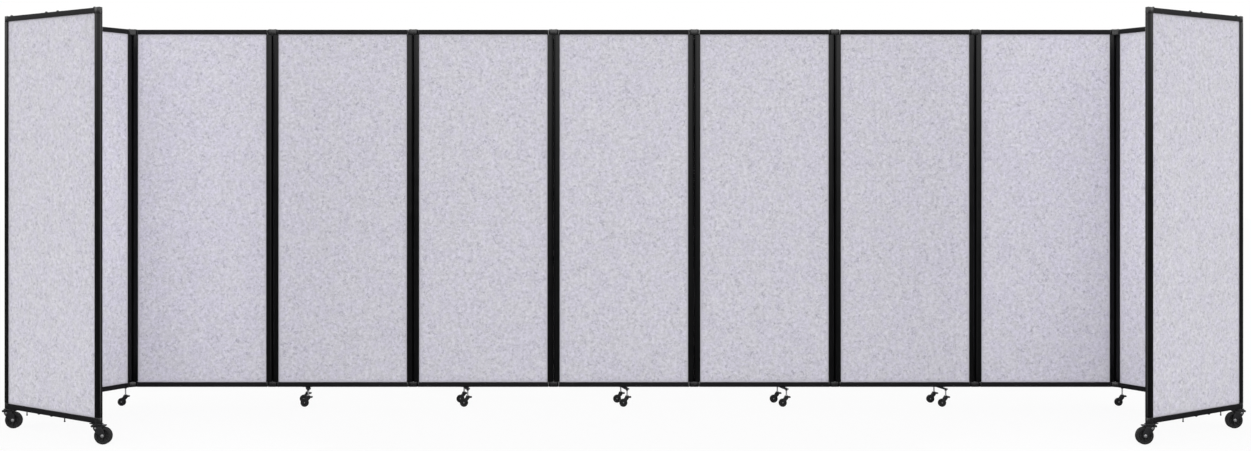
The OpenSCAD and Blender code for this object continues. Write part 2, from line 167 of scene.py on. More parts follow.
class RowPlan:
    """Where each panel, link and caster of the row stands."""

    def __init__(self, row: RowSize, panel: PanelSize, hinge: HingeSize) -> None:
        """Works out the plan.

        Args:
            row: sizes of the row.
            panel: sizes of a panel.
            hinge: sizes of a hinge.
        """
        self.row = row
        self.axis_gap = panel.thickness + hinge.nose_gap
        self.span = row.pitch - self.axis_gap
        self.middle = (row.panels + 1) // 2
        middle_joint = f"hinge_{self.middle:02d}_inner"
        self.row_y = next(j["pos_m"][1] for j in frame["joints"] if j["name"] == middle_joint)

    def fold(self, link: int) -> float:
        """Turn of the row at a link, in degrees.

        Args:
            link: the link's number, from 1 at the left end.

        Returns:
            The angle.
        """
        if link in (1, self.row.panels - 1):
            return -self.row.end_turn
        return -self.row.corner_turn if link in (2, self.row.panels - 2) else 0.0

    def heading(self, panel: int) -> float:
        """Direction of a panel in plan, in degrees from +X.

        Args:
            panel: the panel's number.

        Returns:
            The angle.
        """
        if panel > self.middle:
            return self.heading(panel - 1) + self.fold(panel - 1)
        return 0.0 if panel == self.middle else self.heading(panel + 1) - self.fold(panel)

    @staticmethod
    def way(degrees: float) -> Vector:
        """Level unit vector in a direction."""
        return Vector((math.cos(math.radians(degrees)), math.sin(math.radians(degrees)), 0))

    def left(self, panel: int) -> Vector:
        """Point on the floor under a panel's left axis.

        Args:
            panel: the panel's number.

        Returns:
            The point.
        """
        if panel == self.middle:
            return Vector((-self.span / 2, self.row_y, 0))
        if panel > self.middle:
            turn = self.heading(panel - 1) + self.fold(panel - 1) / 2
            return self.right(panel - 1) + self.axis_gap * self.way(turn)
        return self.right(panel) - self.span * self.way(self.heading(panel))

    def right(self, panel: int) -> Vector:
        """Point on the floor under a panel's right axis.

        Args:
            panel: the panel's number.

        Returns:
            The point.
        """
        if panel >= self.middle:
            return self.left(panel) + self.span * self.way(self.heading(panel))
        turn = self.heading(panel) + self.fold(panel) / 2
        return self.left(panel + 1) - self.axis_gap * self.way(turn)

    def panel_place(self, panel: int) -> Matrix:
        """Places a panel that is drawn from its left axis along +X."""
        turn = Matrix.Rotation(math.radians(self.heading(panel)), 4, "Z")
        return Matrix.Translation(self.left(panel)) @ turn

    def link_place(self, link: int) -> Matrix:
        """Places a link that is drawn from its first axis along +X."""
        turn = Matrix.Rotation(math.radians(self.heading(link) + self.fold(link) / 2), 4, "Z")
        return Matrix.Translation(self.right(link)) @ turn

    def stem_place(self, panel: int, along: float, across: float, yaw: float) -> Matrix:
        """Places a caster that is drawn round its stem with the wheel trailing along +X.

        Args:
            panel: the panel that carries it.
            along: distance of the stem from the panel's left axis.
            across: distance of the stem behind the panel's middle plane.
            yaw: direction in which the wheel trails, in degrees.

        Returns:
            The matrix of the place.
        """
        stem = self.panel_place(panel) @ Vector((along, across, 0))
        return Matrix.Translation(stem) @ Matrix.Rotation(math.radians(yaw), 4, "Z")

    @property
    def ends(self) -> tuple[Matrix, Matrix]:
        """Places at a panel's left and right axes, with +X pointing into the panel."""
        return Matrix.Identity(4), Matrix.Translation((self.span, 0, 0)) @ MIRRORED

    def end_place(self, panel: int, place: Place) -> Matrix:
        """Place at an end panel's free axis or at its hinge axis, with +X pointing into the panel."""
        return self.ends[0 if (panel == 1) == (place is Place.FREE) else 1]


# ---------------- shapes


def arc(centre: tuple[float, float], radius: float, start: float, end: float, steps: int) -> Outline:
    """Points along an arc, both ends included.

    Args:
        centre: centre of the arc.
        radius: its radius.
        start: angle of the first point, in degrees.
        end: angle of the last point, in degrees.
        steps: number of stretches.

    Returns:
        The points in order.
    """
    angles = [math.radians(start + (end - start) * k / steps) for k in range(steps + 1)]
    return [(centre[0] + radius * math.cos(a), centre[1] + radius * math.sin(a)) for a in angles]


def stadium(length: float, radius: float, steps: int = 16) -> Outline:
    """Outline with two round ends, its first centre on the origin and its second at +X."""
    return arc((length, 0), radius, -90, 90, steps) + arc((0, 0), radius, 90, 270, steps)


def rounded_box(low: tuple[float, float], high: tuple[float, float], radius: float) -> Outline:
    """Rectangle with round corners.

    Args:
        low: its low corner.
        high: its high corner.
        radius: radius of its corners.

    Returns:
        The outline.
    """
    (x0, y0), (x1, y1) = low, high
    corners = [(x1 - radius, y0 + radius), (x1 - radius, y1 - radius)]
    corners += [(x0 + radius, y1 - radius), (x0 + radius, y0 + radius)]
    return [p for k, c in enumerate(corners) for p in arc(c, radius, -90 + 90 * k, 90 * k, 6)]


class Shape:
    """Faces of one piece, gathered before they become a mesh."""

    def __init__(self) -> None:
        """Starts with no faces."""
        self.faces = bmesh.new()

    def loop(self, points: list[Vector], place: Matrix = Matrix()) -> list[bmesh.types.BMVert]:
        """Adds a ring of points."""
        return [self.faces.verts.new(place @ p) for p in points]

    def join(self, one: list[bmesh.types.BMVert], other: list[bmesh.types.BMVert]) -> None:
        """Joins two rings, either of which may be a single point.

        Args:
            one: the first ring.
            other: the second ring.
        """
        count = max(len(one), len(other))
        for a in range(count):
            b = (a + 1) % count
            corners = [one[a % len(one)], one[b % len(one)], other[b % len(other)], other[a % len(other)]]
            self.faces.faces.new(list(dict.fromkeys(corners)))

    def prism(self, outline: Outline, low: float, high: float, place: Matrix = Matrix()) -> Shape:
        """Adds an outline in X and Y drawn out along Z.

        Args:
            outline: corners in order.
            low: where the prism starts.
            high: where it ends.
            place: where it goes.

        Returns:
            The shape itself.
        """
        lower = self.loop([Vector((x, y, low)) for x, y in outline], place)
        upper = self.loop([Vector((x, y, high)) for x, y in outline], place)
        self.join(lower, upper)
        self.faces.faces.new(list(reversed(lower)))
        self.faces.faces.new(upper)
        return self

    def box(self, low: tuple[float, float, float], high: tuple[float, float, float],
            place: Matrix = Matrix()) -> Shape:
        """Adds a block between two corners."""
        (x0, y0, z0), (x1, y1, z1) = low, high
        return self.prism([(x0, y0), (x1, y0), (x1, y1), (x0, y1)], z0, z1, place)

    def revolve(self, profile: Outline, steps: int = 32, place: Matrix = Matrix(),
                ring: bool = False) -> Shape:
        """Adds a profile in radius and height turned about Z.

        Args:
            profile: radius and height of each point; a radius of 0 closes the shape there.
            steps: number of stretches round the axis.
            place: where it goes.
            ring: whether the last point joins the first, as on a ring with a hole.

        Returns:
            The shape itself.
        """
        rings = []
        for radius, height in profile:
            turns = steps if radius > 0 else 1
            angles = [2 * math.pi * k / steps for k in range(turns)]
            rings.append(self.loop([Vector((radius * math.cos(a), radius * math.sin(a), height))
                                     for a in angles], place))
        pairs = list(zip(rings, rings[1:]))
        if ring:
            pairs.append((rings[-1], rings[0]))
        for one, other in pairs:
            self.join(one, other)
        if not ring:
            for end in (rings[0], rings[-1]):
                if len(end) > 1:
                    self.faces.faces.new(end)
        return self

    def data(self, name: str, bevel: float = 0.0, segments: int = 2, smooth: float = 35.0) -> bpy.types.Mesh:
        """Turns the shape into a mesh with its faces outwards.

        Args:
            name: name of the mesh.
            bevel: width of the rounding along sharp edges, or 0.
            segments: steps across that rounding.
            smooth: angle in degrees under which an edge is shaded smooth.

        Returns:
            The mesh.
        """
        bmesh.ops.recalc_face_normals(self.faces, faces=self.faces.faces)
        mesh = bpy.data.meshes.new(name)
        self.faces.to_mesh(mesh)
        self.faces.free()
        if bevel > 0:
            mesh = bevelled(mesh, bevel, segments)
        soften(mesh, smooth)
        return mesh


def evaluated(carrier: bpy.types.Object) -> bpy.types.Mesh:
    """Mesh of an object with its modifiers applied. The object is removed.

    Args:
        carrier: the object, not yet linked to the scene.

    Returns:
        The mesh.
    """
    bpy.context.scene.collection.objects.link(carrier)
    bpy.context.view_layer.update()
    graph = bpy.context.evaluated_depsgraph_get()
    mesh = bpy.data.meshes.new_from_object(carrier.evaluated_get(graph))
    bpy.data.objects.remove(carrier)
    return mesh


def bevelled(mesh: bpy.types.Mesh, width: float, segments: int) -> bpy.types.Mesh:
    """Mesh with its sharp edges rounded.

    Args:
        mesh: the mesh before.
        width: width of the rounding.
        segments: steps across it.

    Returns:
        A new mesh.
    """
    carrier = bpy.data.objects.new(mesh.name, mesh)
    rounding = carrier.modifiers.new("rounding", "BEVEL")
    rounding.width = width
    rounding.segments = segments
    rounding.limit_method = "ANGLE"
    rounding.angle_limit = math.radians(40)
    return evaluated(carrier)


def soften(mesh: bpy.types.Mesh, angle: float = 35.0) -> None:
    """Shades a mesh smooth where its faces meet at less than an angle in degrees."""
    mesh.shade_smooth()
    mesh.set_sharp_from_angle(angle=math.radians(angle))


# ---------------- nodes


class Graph:
    """Adds nodes to a shader tree or a geometry tree."""

    def __init__(self, tree: bpy.types.NodeTree) -> None:
        """Wraps a tree and clears it."""
        self.tree = tree
        tree.nodes.clear()

    def node(self, kind: str, settings: dict | None = None, **inputs: object) -> bpy.types.Node:
        """Adds one node.

        Args:
            kind: the node's type.
            settings: its properties, such as a Math node's operation, set before its sockets.
            inputs: a value or a link for each socket, by name with _ for a space, or by index as s0, s1.

        Returns:
            The node.
        """
        made = self.tree.nodes.new(kind)
        for key, value in (settings or {}).items():
            setattr(made, key, value)
        for key, value in inputs.items():
            is_index = key[0] == "s" and key[1:].isdigit()
            socket = made.inputs[int(key[1:])] if is_index else made.inputs[key.replace("_", " ")]
            self.feed(socket, value)
        return made

    def feed(self, socket: bpy.types.NodeSocket, value: object) -> None:
        """Links a socket to a value, or sets it.

        Args:
            socket: the socket.
            value: a value in a shader, another node's socket or a constant.
        """
        if isinstance(value, Value):
            value = value.socket
        if isinstance(value, bpy.types.NodeSocket):
            self.tree.links.new(value, socket)
        elif socket.type == "RGBA" and len(value) == 3:
            socket.default_value = (*value, 1.0)
        else:
            socket.default_value = value


class Value:
    """A number in a shader, on which Python's operators add Math nodes."""

    def __init__(self, graph: Graph, socket: bpy.types.NodeSocket) -> None:
        """Wraps a socket of a graph."""
        self.graph = graph
        self.socket = socket

    def _math(self, operation: str, first: object, second: object) -> Value:
        """Adds one Math node."""
        made = self.graph.node("ShaderNodeMath", {"operation": operation}, s0=first, s1=second)
        return Value(self.graph, made.outputs[0])

    def __add__(self, other: Value | float) -> Value:
        """self + other."""
        return self._math("ADD", self, other)

    __radd__ = __add__

    def __sub__(self, other: Value | float) -> Value:
        """self - other."""
        return self._math("SUBTRACT", self, other)

    def __rsub__(self, other: float) -> Value:
        """other - self."""
        return self._math("SUBTRACT", other, self)

    def __mul__(self, other: Value | float) -> Value:
        """self * other."""
        return self._math("MULTIPLY", self, other)

    __rmul__ = __mul__

    def step(self, low: float, high: float) -> Value:
        """0 below low, 1 above high, and smooth between.

        Args:
            low: where it starts to rise.
            high: where it reaches 1.

        Returns:
            The value.
        """
        made = self.graph.node("ShaderNodeMapRange", {"interpolation_type": "SMOOTHSTEP"}, Value=self,
                               From_Min=low, From_Max=high)
        return Value(self.graph, made.outputs[0])


class Surface(Graph):
    """Shader tree of one material with a Principled shader."""

    def __init__(self, name: str, **constants: object) -> None:
        """Makes the material.

        Args:
            name: its name.
            constants: values for the Principled shader's own sockets.
        """
        self.material = bpy.data.materials.new(name)
        self.material.use_nodes = True
        super().__init__(self.material.node_tree)
        self.shader = self.node("ShaderNodeBsdfPrincipled", None, **constants)
        self.node("ShaderNodeOutputMaterial", None, Surface=self.shader.outputs[0])
        self.here = self.node("ShaderNodeTexCoord").outputs["Object"]

    def noise(self, size: float, detail: float = 2.0, roughness: float = 0.5,
              stretch: Colour = (1, 1, 1), distortion: float = 0.0) -> Value:
        """Noise round 0, about -0.5 to 0.5.

        Args:
            size: size of its patches in metres.
            detail: number of finer layers.
            roughness: strength of the finer layers.
            stretch: how many times finer the patches are along each axis.
            distortion: how far the patches are drawn into each other.

        Returns:
            The value.
        """
        mapped = self.node("ShaderNodeMapping", {"vector_type": "POINT"}, Vector=self.here, Scale=stretch)
        made = self.node("ShaderNodeTexNoise", None, Vector=mapped.outputs[0], Scale=0.5 / size,
                         Detail=detail, Roughness=roughness, Distortion=distortion)
        return Value(self, made.outputs[0]) - 0.5

    def attribute(self, name: str) -> Value:
        """A number that the mesh carries."""
        made = self.node("ShaderNodeAttribute", {"attribute_name": name})
        return Value(self, made.outputs["Fac"])

    def mix(self, mask: Value, first: object, second: object) -> bpy.types.NodeSocket:
        """Mixes two colours by a mask."""
        made = self.node("ShaderNodeMix", {"data_type": "RGBA"}, s0=mask, s6=first, s7=second)
        return made.outputs[2]

    def shade(self, colour: object, level: Value) -> bpy.types.NodeSocket:
        """Makes a colour brighter or darker by a level round 1."""
        made = self.node("ShaderNodeVectorMath", {"operation": "SCALE"}, s0=colour, Scale=level)
        return made.outputs[0]

    def finish(self, colour: object, roughness: Value, relief: Value, depth: float) -> bpy.types.Material:
        """Feeds the shader what changes over the surface.

        Args:
            colour: base colour.
            roughness: roughness.
            relief: height of the surface, round 0.
            depth: metres for one unit of relief.

        Returns:
            The material.
        """
        bump = self.node("ShaderNodeBump", None, Height=relief, Distance=depth, Strength=1.0)
        for name, value in (("Base Color", colour), ("Roughness", roughness), ("Normal", bump.outputs[0])):
            self.feed(self.shader.inputs[name], value)
        return self.material


# ---------------- finishes


@dataclass(frozen=True)
class PressedFelt:
    """Needled polyester felt, mottled in lavender grey and neutral grey, with short dark fibres."""

    lavender: Colour = (0.634, 0.617, 0.699)
    neutral: Colour = (0.639, 0.629, 0.683)
    fibre: Colour = (0.400, 0.388, 0.470)
    # painted highlight: a flat colour lighter than the flecked felt, laid on the flattened border for the
    # light its rounded edge catches
    border: Colour = (0.640, 0.628, 0.684)
    roughness: float = 0.92
    patch: float = 0.042
    fleck: float = 0.0088
    fleck_strength: float = 0.75
    thread: float = 0.0022
    thread_strength: float = 0.38
    border_highlight_strength: float = 0.75
    depth: float = 0.0011

    def material(self) -> bpy.types.Material:
        """Builds the material: patches, then flecks, threads, an uneven level and a painted highlight on the
        flattened border.

        Returns:
            The material.
        """
        s = Surface("pressed_felt", Roughness=self.roughness, Sheen_Weight=0.15, Sheen_Roughness=0.6)
        patches = s.noise(self.patch, 3.0, 0.6, distortion=0.6).step(-0.06, 0.06)
        colour = s.mix(patches, self.lavender, self.neutral)
        flecks = s.noise(self.fleck, 2.0, 0.6, distortion=1.3).step(0.05, 0.19)
        colour = s.mix(flecks * self.fleck_strength, colour, self.fibre)
        threads = s.noise(self.thread, 2.0, 0.7, stretch=(1, 1, 4), distortion=1.4).step(0.10, 0.26)
        colour = s.mix(threads * self.thread_strength, colour, self.fibre)
        level = 1.0 + 0.70 * s.noise(0.0092, 2.0, 0.6) + 0.24 * s.noise(0.0032, 1.0, 0.6)
        colour = s.shade(colour, level)
        # painted highlight along the flattened border, mixed in by the border attribute
        colour = s.mix(s.attribute("border") * self.border_highlight_strength, colour, self.border)
        relief = s.noise(0.0018, 3.0, 0.7, distortion=1.0) + 1.6 * s.noise(0.009, 2.0)
        return s.finish(colour, self.roughness + 0.1 * s.noise(0.004), relief, self.depth)


@dataclass(frozen=True)
class PowderCoat:
    """Satin black powder coat with a fine orange-peel surface."""

    name: str = "powder_coat"
    colour: Colour = (0.0017, 0.0017, 0.0020)
    roughness: float = 0.20
    gloss: float = 0.22
    depth: float = 0.00009

    def material(self) -> bpy.types.Material:
        """Builds the material.

        Returns:
            The material.
        """
        s = Surface(self.name, Specular_IOR_Level=self.gloss)
        level = 1.0 + 0.5 * s.noise(0.06, 3.0) + 0.5 * s.noise(0.0012, 1.0)
        relief = s.noise(0.0009, 2.0, 0.6)
        roughness = self.roughness + 0.12 * s.noise(0.03, 3.0)
        return s.finish(s.shade(self.colour, level), roughness, relief, self.depth)


@dataclass(frozen=True)
class CastMetal:
    """Dark cast metal, mottled where the coat is thin."""

    dark: Colour = (0.0025, 0.0025, 0.0028)
    light: Colour = (0.0070, 0.0070, 0.0074)
    patch: float = 0.009
    roughness: float = 0.28
    gloss: float = 0.42
    depth: float = 0.0002

    def material(self) -> bpy.types.Material:
        """Builds the material.

        Returns:
            The material.
        """
        s = Surface("cast_metal", Specular_IOR_Level=self.gloss)
        mask = s.noise(self.patch, 3.0, 0.65, distortion=0.5).step(-0.14, 0.16)
        relief = s.noise(0.0014, 3.0, 0.65) + 0.6 * s.noise(0.005, 1.0)
        roughness = self.roughness + 0.22 * s.noise(0.006, 2.0)
        return s.finish(s.mix(mask, self.dark, self.light), roughness, relief, self.depth)


@dataclass(frozen=True)
class Steel:
    """Zinc-plated steel with faint smears."""

    name: str = "zinc_steel"
    colour: Colour = (0.48, 0.48, 0.49)
    metallic: float = 0.85
    roughness: float = 0.36
    depth: float = 0.00003

    def material(self) -> bpy.types.Material:
        """Builds the material.

        Returns:
            The material.
        """
        s = Surface(self.name, Metallic=self.metallic)
        level = 1.0 + 0.5 * s.noise(0.004, 3.0, 0.6) + 0.3 * s.noise(0.0007, 1.0)
        relief = s.noise(0.0006, 2.0, 0.6)
        roughness = self.roughness + 0.3 * s.noise(0.003, 2.0)
        return s.finish(s.shade(self.colour, level), roughness, relief, self.depth)


@dataclass(frozen=True)
class TyreRubber:
    """Dark grey rubber with dust in its grain."""

    clean: Colour = (0.013, 0.013, 0.0135)
    dusty: Colour = (0.034, 0.033, 0.032)
    dust: float = 0.6
    roughness: float = 0.72
    gloss: float = 0.2
    depth: float = 0.00012

    def material(self) -> bpy.types.Material:
        """Builds the material.

        Returns:
            The material.
        """
        s = Surface("tyre_rubber", Specular_IOR_Level=self.gloss)
        dust = s.noise(0.006, 3.0, 0.65).step(-0.02, 0.22)
        relief = s.noise(0.0008, 3.0, 0.7)
        roughness = self.roughness + 0.25 * s.noise(0.004, 2.0)
        return s.finish(s.mix(dust * self.dust, self.clean, self.dusty), roughness, relief, self.depth)


@dataclass(frozen=True)
class MouldedPlastic:
    """Moulded nylon or polypropylene with a fine spark-eroded grain."""

    name: str = "moulded_plastic"
    colour: Colour = (0.015, 0.015, 0.0155)
    grain: float = 0.0006
    roughness: float = 0.55
    gloss: float = 0.22
    depth: float = 0.00008

    def material(self) -> bpy.types.Material:
        """Builds the material.

        Returns:
            The material.
        """
        s = Surface(self.name, Specular_IOR_Level=self.gloss)
        level = 1.0 + 0.6 * s.noise(0.008, 2.0)
        relief = s.noise(self.grain, 2.0, 0.6)
        roughness = self.roughness + 0.3 * s.noise(0.005, 2.0)
        return s.finish(s.shade(self.colour, level), roughness, relief, self.depth)


@dataclass(frozen=True)
class Palette:
    """Every finish of the partition, built once."""

    felt: bpy.types.Material
    coat: bpy.types.Material
    rail_coat: bpy.types.Material
    cast: bpy.types.Material
    paint: bpy.types.Material
    steel: bpy.types.Material
    stem: bpy.types.Material
    dark_steel: bpy.types.Material
    worn_steel: bpy.types.Material
    rubber: bpy.types.Material
    plastic: bpy.types.Material
    nylon: bpy.types.Material

    @staticmethod
    def build() -> Palette:
        """Builds the materials.

        Returns:
            The palette.
        """
        return Palette(
            felt=PressedFelt().material(),
            coat=PowderCoat().material(),
            # painted light: the rails get a lighter, matter copy of the posts' coat for the light the rails
            # catch, and the posts keep the darker one
            rail_coat=PowderCoat("rail_coat", (0.0125, 0.0125, 0.0134), 0.36, 0.04).material(),
            cast=CastMetal().material(),
            paint=PowderCoat("caster_paint", (0.014, 0.014, 0.015), 0.38, 0.2).material(),
            steel=Steel().material(),
            stem=Steel("stem_steel", (0.42, 0.42, 0.43), 0.35).material(),
            dark_steel=Steel("dark_steel", (0.045, 0.045, 0.048), 0.5).material(),
            worn_steel=Steel("worn_steel", (0.22, 0.22, 0.225), 0.6).material(),
            rubber=TyreRubber().material(),
            plastic=MouldedPlastic().material(),
            nylon=MouldedPlastic("bush_nylon", (0.06, 0.06, 0.06)).material(),
        )


# ---------------- repeats


class Repeater:
    """Geometry Nodes trees that repeat an item round a ring, along a row or on given points."""

    def __init__(self) -> None:
        """Builds the three trees."""
        self.ring_tree = self._ring()
        self.row_tree = self._row()
        self.point_tree = self._points()

    @staticmethod
    def _start(name: str, inputs: dict[str, str]) -> tuple[Graph, dict[str, str], bpy.types.Node]:
        """Starts a tree with a geometry input and output.

        Args:
            name: name of the tree.
            inputs: name and socket type of each further input.

        Returns:
            The graph, the identifier of each input by name, and the input node.
        """
        tree = bpy.data.node_groups.new(name, "GeometryNodeTree")
        graph = Graph(tree)
        tree.interface.new_socket("Geometry", in_out="INPUT", socket_type="NodeSocketGeometry")
        tree.interface.new_socket("Geometry", in_out="OUTPUT", socket_type="NodeSocketGeometry")
        keys = {}
        for key, kind in inputs.items():
            keys[key] = tree.interface.new_socket(key, in_out="INPUT", socket_type=kind).identifier
        return graph, keys, graph.node("NodeGroupInput")

    @staticmethod
    def _end(graph: Graph, source: bpy.types.Node, instances: bpy.types.Node) -> None:
        """Ends a tree in Realize Instances and Set Material.

        Args:
            graph: the tree's graph.
            source: its input node.
            instances: the node that makes the copies.
        """
        real = graph.node("GeometryNodeRealizeInstances", None, s0=instances.outputs[0])
        dressed = graph.node("GeometryNodeSetMaterial", None, Geometry=real.outputs[0],
                             Material=source.outputs["Finish"])
        graph.node("NodeGroupOutput", None, s0=dressed.outputs[0])

    def _ring(self) -> tuple[bpy.types.NodeTree, dict[str, str]]:
        """Tree that turns copies of the item round Z.

        Returns:
            The tree, and the identifier of each input by name.
        """
        graph, keys, source = self._start("ring_of_items", {
            "Count": "NodeSocketInt", "Radius": "NodeSocketFloat", "Finish": "NodeSocketMaterial"})
        circle = graph.node("GeometryNodeMeshCircle", None, Vertices=source.outputs["Count"],
                            Radius=source.outputs["Radius"])
        point = graph.node("GeometryNodeInputPosition").outputs[0]
        here = graph.node("ShaderNodeSeparateXYZ", None, s0=point)
        angle = graph.node("ShaderNodeMath", {"operation": "ARCTAN2"}, s0=here.outputs[1], s1=here.outputs[0])
        turn = graph.node("ShaderNodeCombineXYZ", None, Z=angle.outputs[0])
        copies = graph.node("GeometryNodeInstanceOnPoints", None, Points=circle.outputs[0],
                            Instance=source.outputs["Geometry"], Rotation=turn.outputs[0])
        self._end(graph, source, copies)
        return graph.tree, keys

    def _row(self) -> tuple[bpy.types.NodeTree, dict[str, str]]:
        """Tree that sets copies of the item along a line.

        Returns:
            The tree, and the identifier of each input by name.
        """
        graph, keys, source = self._start("row_of_items", {
            "Count": "NodeSocketInt", "Start": "NodeSocketVector", "Step": "NodeSocketVector",
            "Finish": "NodeSocketMaterial"})
        line = graph.node("GeometryNodeMeshLine", {"mode": "OFFSET"}, Count=source.outputs["Count"],
                          Start_Location=source.outputs["Start"], Offset=source.outputs["Step"])
        copies = graph.node("GeometryNodeInstanceOnPoints", None, Points=line.outputs[0],
                            Instance=source.outputs["Geometry"])
        self._end(graph, source, copies)
        return graph.tree, keys

    def _points(self) -> tuple[bpy.types.NodeTree, dict[str, str]]:
        """Tree that sets copies of an item on points, each turned to face the point's own way.

        Returns:
            The tree, and the identifier of each input by name.
        """
        graph, keys, source = self._start("items_on_points", {
            "Item": "NodeSocketObject", "Finish": "NodeSocketMaterial"})
        item = graph.node("GeometryNodeObjectInfo", None, Object=source.outputs["Item"])
        facing = graph.node("GeometryNodeInputNamedAttribute", {"data_type": "FLOAT_VECTOR"}, Name="facing")
        turn = graph.node("FunctionNodeAlignRotationToVector", {"axis": "Z"}, Vector=facing.outputs[0])
        copies = graph.node("GeometryNodeInstanceOnPoints", None, Points=source.outputs["Geometry"],
                            Instance=item.outputs["Geometry"], Rotation=turn.outputs[0])
        self._end(graph, source, copies)
        return graph.tree, keys

    @staticmethod
    def _run(built: tuple[bpy.types.NodeTree, dict[str, str]], mesh: bpy.types.Mesh,
             values: dict[str, object]) -> bpy.types.Mesh:
        """Runs a tree on a mesh.

        Args:
            built: the tree and the identifiers of its inputs.
            mesh: the mesh that goes in.
            values: a value for each input, by name.

        Returns:
            The plain mesh that comes out.
        """
        tree, keys = built
        carrier = bpy.data.objects.new(mesh.name, mesh)
        repeat = carrier.modifiers.new("repeat", "NODES")
        repeat.node_group = tree
        for key, value in values.items():
            repeat[keys[key]] = value
        return evaluated(carrier)

    def ring(self, item: bpy.types.Mesh, count: int, radius: float,
             finish: bpy.types.Material) -> bpy.types.Mesh:
        """Copies of an item turned round Z at a radius."""
        return self._run(self.ring_tree, item, {"Count": count, "Radius": radius, "Finish": finish})

    def row(self, item: bpy.types.Mesh, count: int, start: tuple[float, float, float],
            step: tuple[float, float, float], finish: bpy.types.Material) -> bpy.types.Mesh:
        """Copies of an item along a line."""
        values = {"Count": count, "Start": start, "Step": step, "Finish": finish}
        return self._run(self.row_tree, item, values)

    def on_points(self, item: bpy.types.Object, spots: list[tuple[Vector, Vector]],
                  finish: bpy.types.Material) -> bpy.types.Mesh:
        """Copies of an item on points.

        Args:
            item: object drawn with its outer side towards +Z.
            spots: place and facing of each copy.
            finish: material of the copies.

        Returns:
            The mesh of all copies.
        """
        mesh = bpy.data.meshes.new(item.name + "_spots")
        mesh.from_pydata([p for p, _ in spots], [], [])
        facing = mesh.attributes.new("facing", "FLOAT_VECTOR", "POINT")
        facing.data.foreach_set("vector", [x for _, way in spots for x in way])
        return self._run(self.point_tree, mesh, {"Item": item, "Finish": finish})


# ---------------- dressing


class Dresser:
    """Turns meshes into pieces of the object and joins them to the frame."""

    def __init__(self) -> None:
        """Starts with no pieces."""
        self.count = 0

    def piece(self, name: str, parts: list[tuple[bpy.types.Mesh, Matrix]], finish: bpy.types.Material,
              body: str, slot: str, node: str) -> None:
        """Makes one piece, unturned at the origin, out of placed meshes.

        Args:
            name: name of the piece.
            parts: each mesh and its place in the row.
            finish: material.
            body: body of the frame that the piece rides on.
            slot: material slot of the record; not used.
            node: node of the frame that the piece stands for.
        """
        joined = bmesh.new()
        for mesh, place in parts:
            copy = mesh.copy()
            copy.transform(place)
            if place.determinant() < 0:
                copy.flip_normals()
            joined.from_mesh(copy)
            bpy.data.meshes.remove(copy)
        mesh = bpy.data.meshes.new(name)
        joined.to_mesh(mesh)
        joined.free()
        mesh.materials.clear()
        mesh.materials.append(finish)
        mesh.polygons.foreach_set("material_index", [0] * len(mesh.polygons))
        made = bpy.data.objects.new(name, mesh)
        bpy.context.scene.collection.objects.link(made)
        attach(made, body)
        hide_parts(node)
        self.count += 1


# ---------------- panels


@dataclass(frozen=True)
class Fasteners:
    """Screws, buttons and studs, each drawn once with its outer side towards +Z."""

    screw_radius: float = 0.0026
    plate_screw_radius: float = 0.004
    button_radius: float = 0.0075
    button_height: float = 0.007
    stud_radius: float = 0.003
    stud_length: float = 0.024
    stud_tip: float = 0.0045
    thread_depth: float = 0.0003
    thread_pitch: float = 0.0012

    @staticmethod
    def cross_head(name: str, radius: float, proud: float) -> bpy.types.Object:
        """Screw head with a cross recess.

        Args:
            name: name of the item.
            radius: radius of the head.
            proud: height of the head above the surface.

        Returns:
            The item.
        """
        arm, width, depth = radius * 0.62, radius * 0.17, radius * 0.5
        quarter = [(arm, -width), (arm, width), (width, width)]
        turns = ((1, 0), (0, 1), (-1, 0), (0, -1))
        cross = [(x * c - y * s, x * s + y * c) for c, s in turns for x, y in quarter]
        shape = Shape()

        def level(outline: Outline, height: float) -> list[bmesh.types.BMVert]:
            """Loop of an outline at a height."""
            return shape.loop([Vector((x, y, height)) for x, y in outline])

        edge = arc((0, 0), radius, 0, 345, 23)
        foot, skirt = level(edge, -depth), level(edge, proud * 0.4)
        rim = level(arc((0, 0), radius * 0.93, 0, 345, 23), proud)
        upper, lower = level(cross, proud), level([(x * 0.8, y * 0.8) for x, y in cross], proud - depth)
        for one, other in ((foot, skirt), (skirt, rim), (upper, lower)):
            shape.join(one, other)
        faces = shape.faces
        faces.faces.new(lower)
        faces.faces.new(foot)
        pairs = [(r[k - 1], r[k]) for r in (rim, upper) for k in range(len(r))]
        bmesh.ops.triangle_fill(faces, use_beauty=True, edges=[faces.edges.get(p) for p in pairs])
        return bpy.data.objects.new(name, shape.data(name, smooth=25))

    def button(self) -> bpy.types.Object:
        """Domed button with a small dimple.

        Returns:
            The item.
        """
        r, h = self.button_radius, self.button_height
        dome = [(r, 0), (r, h * 0.3), (r * 0.92, h * 0.55), (r * 0.7, h * 0.85), (r * 0.4, h),
                (r * 0.15, h * 0.98), (0, h * 0.9)]
        return bpy.data.objects.new("button", Shape().revolve([(0, 0), *dome], 28).data("button"))

    def stud(self) -> bpy.types.Object:
        """Thin stud with a round tip, hanging from the rail towards +Z of its own frame.

        Returns:
            The item.
        """
        r, tip, length = self.stud_radius, self.stud_tip, self.stud_length
        collar = [(0, 0), (r * 1.9, 0), (r * 1.9, 0.002), (r, 0.0032)]
        threads = [(r - (self.thread_depth if k % 2 else 0.0), 0.004 + k * self.thread_pitch / 2)
                   for k in range(16)]
        neck = length - 2 * tip
        ball = [(tip * math.sin(a), neck + tip - tip * math.cos(a)) for a in (0.8, 1.2, 1.6, 2.0, 2.4, 2.8)]
        profile = [*collar, *threads, (r, neck), *ball, (0, length)]
        return bpy.data.objects.new("stud", Shape().revolve(profile, 20).data("stud"))


